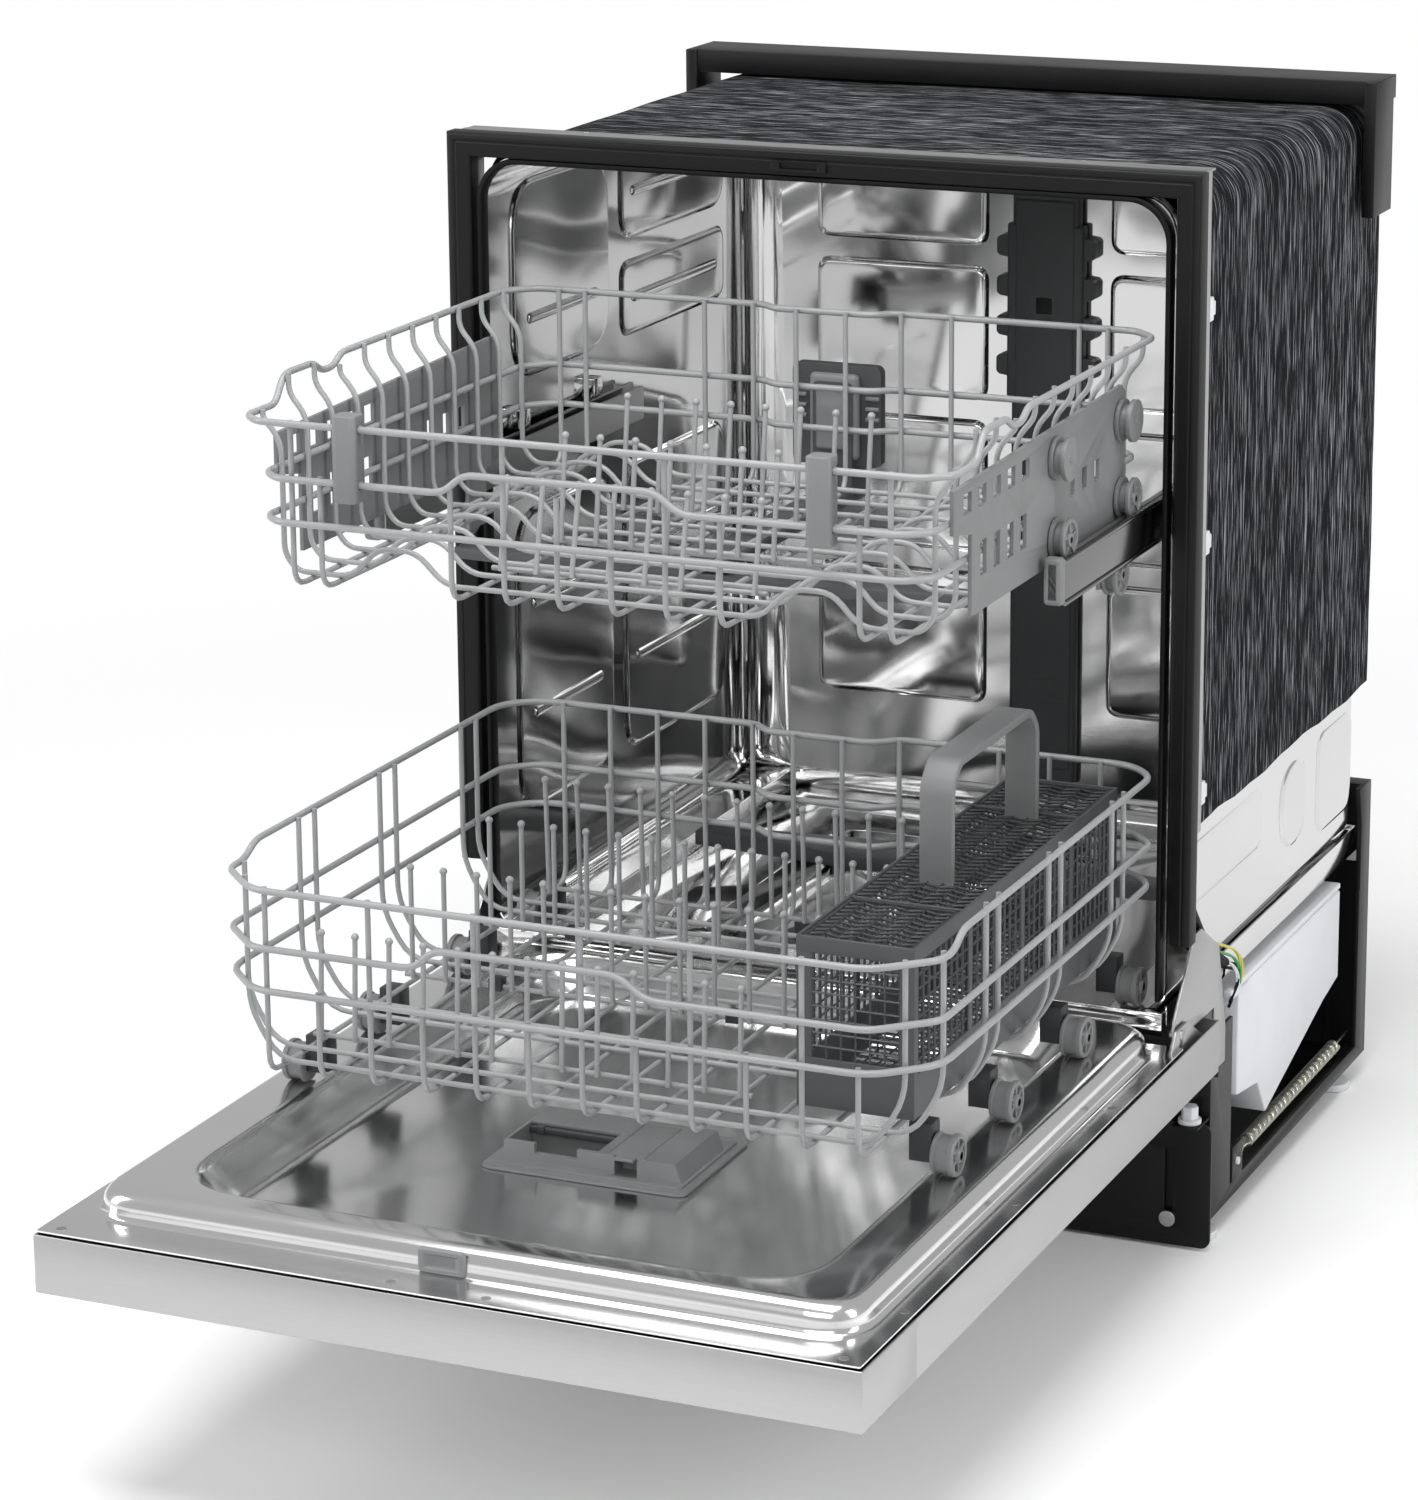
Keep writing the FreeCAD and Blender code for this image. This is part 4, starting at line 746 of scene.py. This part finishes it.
def duct():
    """The riser on the tub's back with its stepped teeth, the port for the rack's pipe, and the top sprayer."""
    parts = [block(-30, 30, 512.0, 523.4, 236, 762, 4.0, 4), block(-26.5, 26.5, 510.2, 516, 250, 745, 2.4, 3),
             block(-22, 22, 512.5, 523.4, 758, 837.4, 3.0, 3), block(-34, 34, 511.2, 523.4, 574, 724, 2.4, 3)]
    for z in (592, 626, 660, 694):
        for side in (1, -1):
            rings = []
            for x, grow in ((30, 0), (41, -1.5), (43.4, -3.4), (44, -5)):
                rim = 513.2 - grow * 0.2
                rings.append([mm(side * x, rim, z - grow), mm(side * x, 523.4, z - grow),
                              mm(side * x, 523.4, z + 20 + grow), mm(side * x, rim, z + 20 + grow)])
            parts.append(smooth(lofted(rings), 30))
    for z in (520, 480, 440, 330, 320, 310):
        parts.append(block(-23, 23, 510.0, 512, z, z + 2.4, 0.6))
    port = lathe([(0, 8.0), (0, 12.6), (1.4, 13.6), (4.4, 13.6), (4.4, 8.4), (1.2, 8.0)], (0, 0, 0), 32)
    port.data.transform(Matrix.Translation(mm(0, 510.0, 655)) @ Matrix.Rotation(math.pi / 2, 4, "Z"))
    parts.append(port)
    parts.append(block(-14, 14, 270, 520, 828.2, 837.4, 2.4, 3))
    nozzle = lathe([(0, 0.02), (0, 9), (2.4, 20), (5, 24), (13, 24), (13, 0.02)], (0, 0, 0), 32)
    nozzle.data.transform(Matrix.Translation(mm(0, 270, 824.2)) @ Matrix.Rotation(-math.pi / 2, 4, "Y"))
    parts.append(nozzle)
    done(joined(parts), "riser_duct_moulded", "cabinet", GREY, ["rear_duct"])
    flap = outward(block(-7, 7, 509.8, 511.4, 648, 662, 0.5))
    done(flap, "riser_port_flap", "cabinet", BLACK)


def springs():
    """Close-wound coils with a hook at each end."""
    for side, word in ((1, "right"), (-1, "left")):
        x, z, turns, coil_radius, start, length = side * 275.0, 42.0, 74, 5.0, 237, 248
        line = [mm(x + coil_radius * math.cos(t * math.pi / 5), start + length * t / (10 * turns),
                   z + coil_radius * math.sin(t * math.pi / 5)) for t in range(10 * turns + 1)]
        hooks = [bent([(x + 5, 237, z), (x, 234, z - 2), (x, 226, z - 6)], 3),
                 bent([(x + 5, 485, z), (x, 488, z), (x, 526, z)], 3)]
        coil = joined([wires([line], 0.95, sides=1), wires(hooks, 1.0)])
        nodes = ["balance_springs"] if side > 0 else []
        done(coil, f"spring_coil_{word}", "cabinet", SPRING, nodes)


def fittings():
    """White clips on the frame's edge, the door's coloured leads, and the foil on the roof's front edge."""
    clips = [block(288.5, 298.6, 33, 43, z - 9, z + 9, 1.4) for z in (754, 580, 389)]
    clips += [block(290.0, 297.6, 43, 50, z - 6, z + 5, 1.2) for z in (754, 580, 389)]
    done(joined(clips), "frame_clips", "cabinet", WHITE)
    base = [(285.4, 96, 249), (286.6, 128, 236), (287.6, 152, 226), (288.4, 166, 214), (287.4, 170, 200),
            (285.0, 172, 194)]
    for finish, name, lift in ((GREEN, "green", 0.0), (YELLOW, "yellow", 5.0), (WHITE, "white", -5.0)):
        runs = [bent([(x + k * 0.9, y + lift * 0.8 + k * 3.2, z + lift * 0.9 - k * 2.0) for x, y, z in base], 9)
                for k in (0, 1)]
        done(wires(runs, 0.95, sides=2), f"lead_{name}", "cabinet", finish)
    plug = [block(281.4, 288.6, 150, 176, 189, 197, 1.2), block(282.0, 287.6, 178, 206, 193.2, 198, 1.2)]
    done(joined(plug), "lead_plugs", "cabinet", WHITE)
    patch = block(-60, 34, 18, 74, 844.9, 845.5, 0.2)
    done(patch, "roof_foil", "cabinet", STEEL_LINER)


# ---- tub -------------------------------------------------------------------------------------------------
def tub():
    """The pressed tub: round corners, embossed walls, and the guides for the rails' rollers."""
    x, top, low, front, back = 277.7, 837.7, 222.3, 17.6, 523.8

    def arch(inset, y):
        points = [(236 - inset, low, y), (x - inset, low, y), (x - inset, top - inset, y),
                  (inset - x, top - inset, y), (inset - x, low, y), (inset - 236, low, y)]
        return [Vector((p.x, p.z, p.y)) for p in bent(points, 34 - inset * 0.3, steps=7)]

    rings = [arch(0, front), arch(0, back - 30)]
    for k in range(1, 8):
        turn = k * math.pi / 14
        rings.append(arch(30 * (1 - math.cos(turn)), back - 30 + 30 * math.sin(turn)))
    shell = lofted(rings, closed=False)
    pick(shell)
    modified(shell, "SOLIDIFY", thickness=0.0014, offset=1.0)
    parts = [smooth(shell, 50)]

    def rear(u, v, h):
        return mm(u, back - h, v)

    for side in (1, -1):
        def wall(u, v, h):
            return mm(side * (x - h), u, v)

        for z0, z1 in ((700, 806), (566, 684), (432, 550), (298, 416)):
            u = sorted((side * 54, side * 212))
            parts.append(pressing(*u, z0, z1, 14, 4.0, rear))
        parts.append(pressing(56, 238, 652, 812, 42, 2.6, wall))
        parts.append(pressing(258, 470, 652, 716, 16, 2.4, wall))
        parts.append(pressing(258, 470, 732, 812, 26, 2.4, wall))
        parts.append(pressing(56, 238, 300, 548, 38, 2.4, wall))
        parts.append(pressing(258, 470, 300, 548, 30, 2.4, wall))
        for u0, u1, v in ((80, 214, 700), (276, 452, 772), (276, 452, 684), (80, 214, 470), (80, 214, 380),
                          (276, 452, 470), (276, 452, 380)):
            bead = pressing(u0, u1, v - 7, v + 7, 6.9, 4.6, lambda a, b, h: wall(a, b, max(h, 0.3)))
            parts.append(bead)
        edge = sorted((side * 278, side * 279.4))
        parts.append(block(*edge, 17.6, 524, 205, 226, 0.2))
        for y in (62.0, 196.0):
            parts.append(block(*sorted((side * 267.6, side * 278)), y - 8, y + 8, 617.4, 633, 1.2))
            parts.append(block(*sorted((side * 267.4, side * 278)), y - 3, y + 3, 573, 579, 2.4))
        def flank(u, v, h):
            return mm(side * (279.0 + h), u, v)

        parts += [pressing(300, 372, 262, 334, 35, 1.6, flank), pressing(400, 500, 250, 338, 20, 1.4, flank),
                  pressing(60, 250, 286, 338, 16, 1.4, flank)]
    for u in ((-212, 212),):
        parts.append(pressing(*u, 70, 250, 30, 3.0, lambda a, b, h: mm(a, b, top - h)))
        parts.append(pressing(*u, 290, 470, 30, 3.0, lambda a, b, h: mm(a, b, top - h)))
    parts.append(block(-279.4, 279.4, 524, 525.4, 195, 226, 0.2))
    done(joined(parts), "tub_shell", "cabinet", STEEL_TUB, ["tub_wrap", "tub_back"])


def liner():
    """The inner door: flange, round ridge, dished middle with the dispenser's opening."""
    steps = [(299.5, -646, -2, 202.0, 1.5), (286, -616, -4, 202.0, 38), (283.4, -613.4, -5.6, 202.4, 37),
             (281.8, -611.8, -7.2, 204.0, 36), (281, -611, -8, 206.6, 35), (280.7, -610.7, -8.3, 210, 35)]
    for k in range(1, 8):
        turn = k * math.pi / 14
        inset = 12 * (1 - math.cos(turn)) + 0.3
        steps.append((281 - inset, -611 + inset, -8 - inset, 210 + 12 * math.sin(turn), 35 - inset * 0.4))
    steps += [(240, -586, -21.5, 222, 60), (236.5, -582, -23.5, 221.6, 59), (233.8, -579, -25, 220.2, 58),
              (230.5, -575.6, -26.8, 216, 57), (222, -567, -31, 204, 52), (215, -560, -34, 194.6, 48),
              (211, -556, -36, 191.4, 45), (205, -550, -39, 190, 42)]
    rings = [rounded(-hx, hx, y0, y1, r, lambda u, v, h=z: mm(u, v, h)) for hx, y0, y1, z, r in steps]
    rings.append(rounded(-84, 62, -392, -286, 1.5, lambda u, v: mm(u, v, 190)))
    skin = lofted(rings, fill=False)
    modified(skin, "SOLIDIFY", thickness=0.0012, offset=-1.0)
    done(smooth(skin, 50), "door_liner_pressed", "door", STEEL_LINER, ["door_liner"])

    y = -611.0
    rings = []
    for half_u, half_v, deep, r in ((17, 8.4, 0.6, 2.5), (17, 8.4, -2.2, 2.5), (16.3, 7.7, -2.9, 2.2),
                                    (13.2, 5.4, -2.8, 1.5), (9.6, 3.4, -0.2, 1.0), (9.2, 3.0, -0.1, 0.8)):
        rings.append(rounded(-10 - half_u, -10 + half_u, 211.4 - half_v, 211.4 + half_v, r,
                             lambda u, v, d=deep: mm(u, y + d, v)))
    catch = smooth(lofted(rings, fill=(0, 5)), 30)
    done(catch, "latch_housing_moulded", "door", PALE_GREY, ["latch_housing"])


def trim():
    """The black frame round the mouth, with a groove along it and mitred corners."""
    profile = [(0, 15.9), (0, 1.4), (0.5, 0.5), (1.4, 0.05), (5.6, 0.05), (6.1, 0.7), (6.9, 0.9), (7.6, 0.7),
               (8.1, 0.3), (15.6, 1.5), (17.8, 2.3), (18.8, 3.6), (19, 5.2), (19, 15.9)]
    half, top, low = 301.5, 858.0, 280.0
    rings = []
    for d, y in profile:
        rings.append([mm(d - half, y, low), mm(d - half, y, top - d), mm(half - d, y, top - d),
                      mm(half - d, y, low)])
    frame_bar = lofted(rings, closed=False, fill=False, loop=True)
    pick(frame_bar)
    bpy.ops.object.mode_set(mode="EDIT")
    bpy.ops.mesh.select_all(action="DESELECT")
    bpy.ops.mesh.select_non_manifold()
    bpy.ops.mesh.fill()
    bpy.ops.object.mode_set(mode="OBJECT")
    smooth(outward(frame_bar), 35)
    done(frame_bar, "front_trim_profile", "cabinet", BLACK, ["front_trim"])


def felt():
    """The felt: one sheet draped over sides and top, and a second one on the back."""
    x, top, low, y0, y1 = 284.4, 844.4, 352.0, 38.0, 526.0
    points = [(x, low, 0), (x, top, 0), (-x, top, 0), (-x, low, 0)]
    arc = bent(points, 34, steps=10)
    run = []
    for a, b in zip(arc, arc[1:]):
        pieces = max(1, round((b - a).length / 0.02))
        run += [a.lerp(b, i / pieces) for i in range(pieces)]
    run.append(arc[-1])
    rings = []
    for k in range(25):
        y = y0 + (y1 - y0) * k / 24
        ring = []
        for i, p in enumerate(run):
            ripple = 0.5 * math.sin(k * 0.9 + i * 0.35) + 0.4 * math.sin(k * 0.37 - i * 0.8 + 1.0)
            droop = 1.6 * math.sin(k * 0.55) + 0.8 * math.sin(k * 1.7 + 0.5)
            out = ripple * 0.0006
            sideways = math.copysign(out, p.x) * (abs(p.x) > 0.28)
            place = Vector((p.x + sideways, y * 0.001, p.y + out * (p.y > 0.84)))
            if i in (0, len(run) - 1):
                place.z += droop * 0.001
            ring.append(place)
        rings.append(ring)
    over = lofted(rings, closed=False, fill=False)      # every ring holds the same number of points
    modified(over, "SOLIDIFY", thickness=0.0042, offset=-1.0)
    modified(over, "BEVEL", width=0.0012, segments=2, limit_method="ANGLE", angle_limit=math.radians(60))
    done(smooth(over, 60), "felt_over_top", "cabinet", FELT, ["insulation_felt"])
    rings = [rounded(g - 279.5, 279.5 - g, 352 + g, 842 - g, 32, lambda u, v, y=y: mm(u, y, v))
             for g, y in ((1.4, 526.3), (0.3, 527.0), (0, 528.4), (0.3, 529.9), (1.4, 530.6))]
    rear = smooth(lofted(rings, fill=(0, 4)), 50)
    done(rear, "felt_behind", "cabinet", FELT_REAR)


studio()
tub()
liner()
trim()
felt()
rails()
duct()
springs()
fittings()
lower_rack()
rack_wheels()
basket()
upper_rack()
coupling()
rollers()

# CAD nodes that keep their own shape: the finish and the bevel in mm of each
PLAIN = {
    "door_gasket": (RUBBER, 1.2), "rear_bracket": (BLACK, 0.8), "base_frame": (BLACK, 0.8),
    "toe_plate": (BLACK, 0.6), "toe_plate_screws": (STEEL_PLATE, 0.4), "levelling_feet": (WHITE, 0.6),
    "sump_housing": (DARK, 0.5), "wash_motor": (DARK, 0.8), "drain_pump": (WHITE, 0.8),
    "inlet_valve": (WHITE, 0.8),
    "filter_mesh": (STEEL_PLATE, 0.3), "electronics_case": (WHITE, 1.5), "electronics_cover": (WHITE, 1.0),
    "spring_cords_and_pulleys": (WHITE, 0.3), "hinge_brackets": (STEEL_PLATE, 0.3),
    "wire_harness": (RUBBER, 0), "latch_striker": (BLACK, 0.4),
    "filter_cup": (GREY, 0.5), "lower_spray_arm": (GREY, 1.5), "tub_rollers_front": (DARK, 0.5),
    "tub_rollers_rear": (DARK, 0.5), "door_panel": (STEEL_LONG, 0.8), "console": (STEEL_LONG, 0.8),
    "liner_screws": (STEEL_PLATE, 0.2), "dispenser_body": (MID_GREY, 0.8),
    "hinge_arms": (STEEL_PLATE, 0.3), "detergent_cover": (GREY, 0.4), "rinse_aid_lid": (MID_GREY, 0.4),
    "dispenser_button": (MID_GREY, 0.8), "latch_hook": (STEEL_PLATE, 0.4), "lower_rack_clips": (DARK, 0.5),
    "rack_front_clips": (MID_GREY, 0.8), "upper_feed_pipe": (GREY, 1.0), "upper_spray_arm": (GREY, 1.0),
    "tub_front_frame": (STEEL_PLATE, 0.3),
    "tub_bottom": (STEEL_TUB, 1.5),
}
for node, (finish, bevel) in PLAIN.items():
    from_cad(node, finish, bevel)
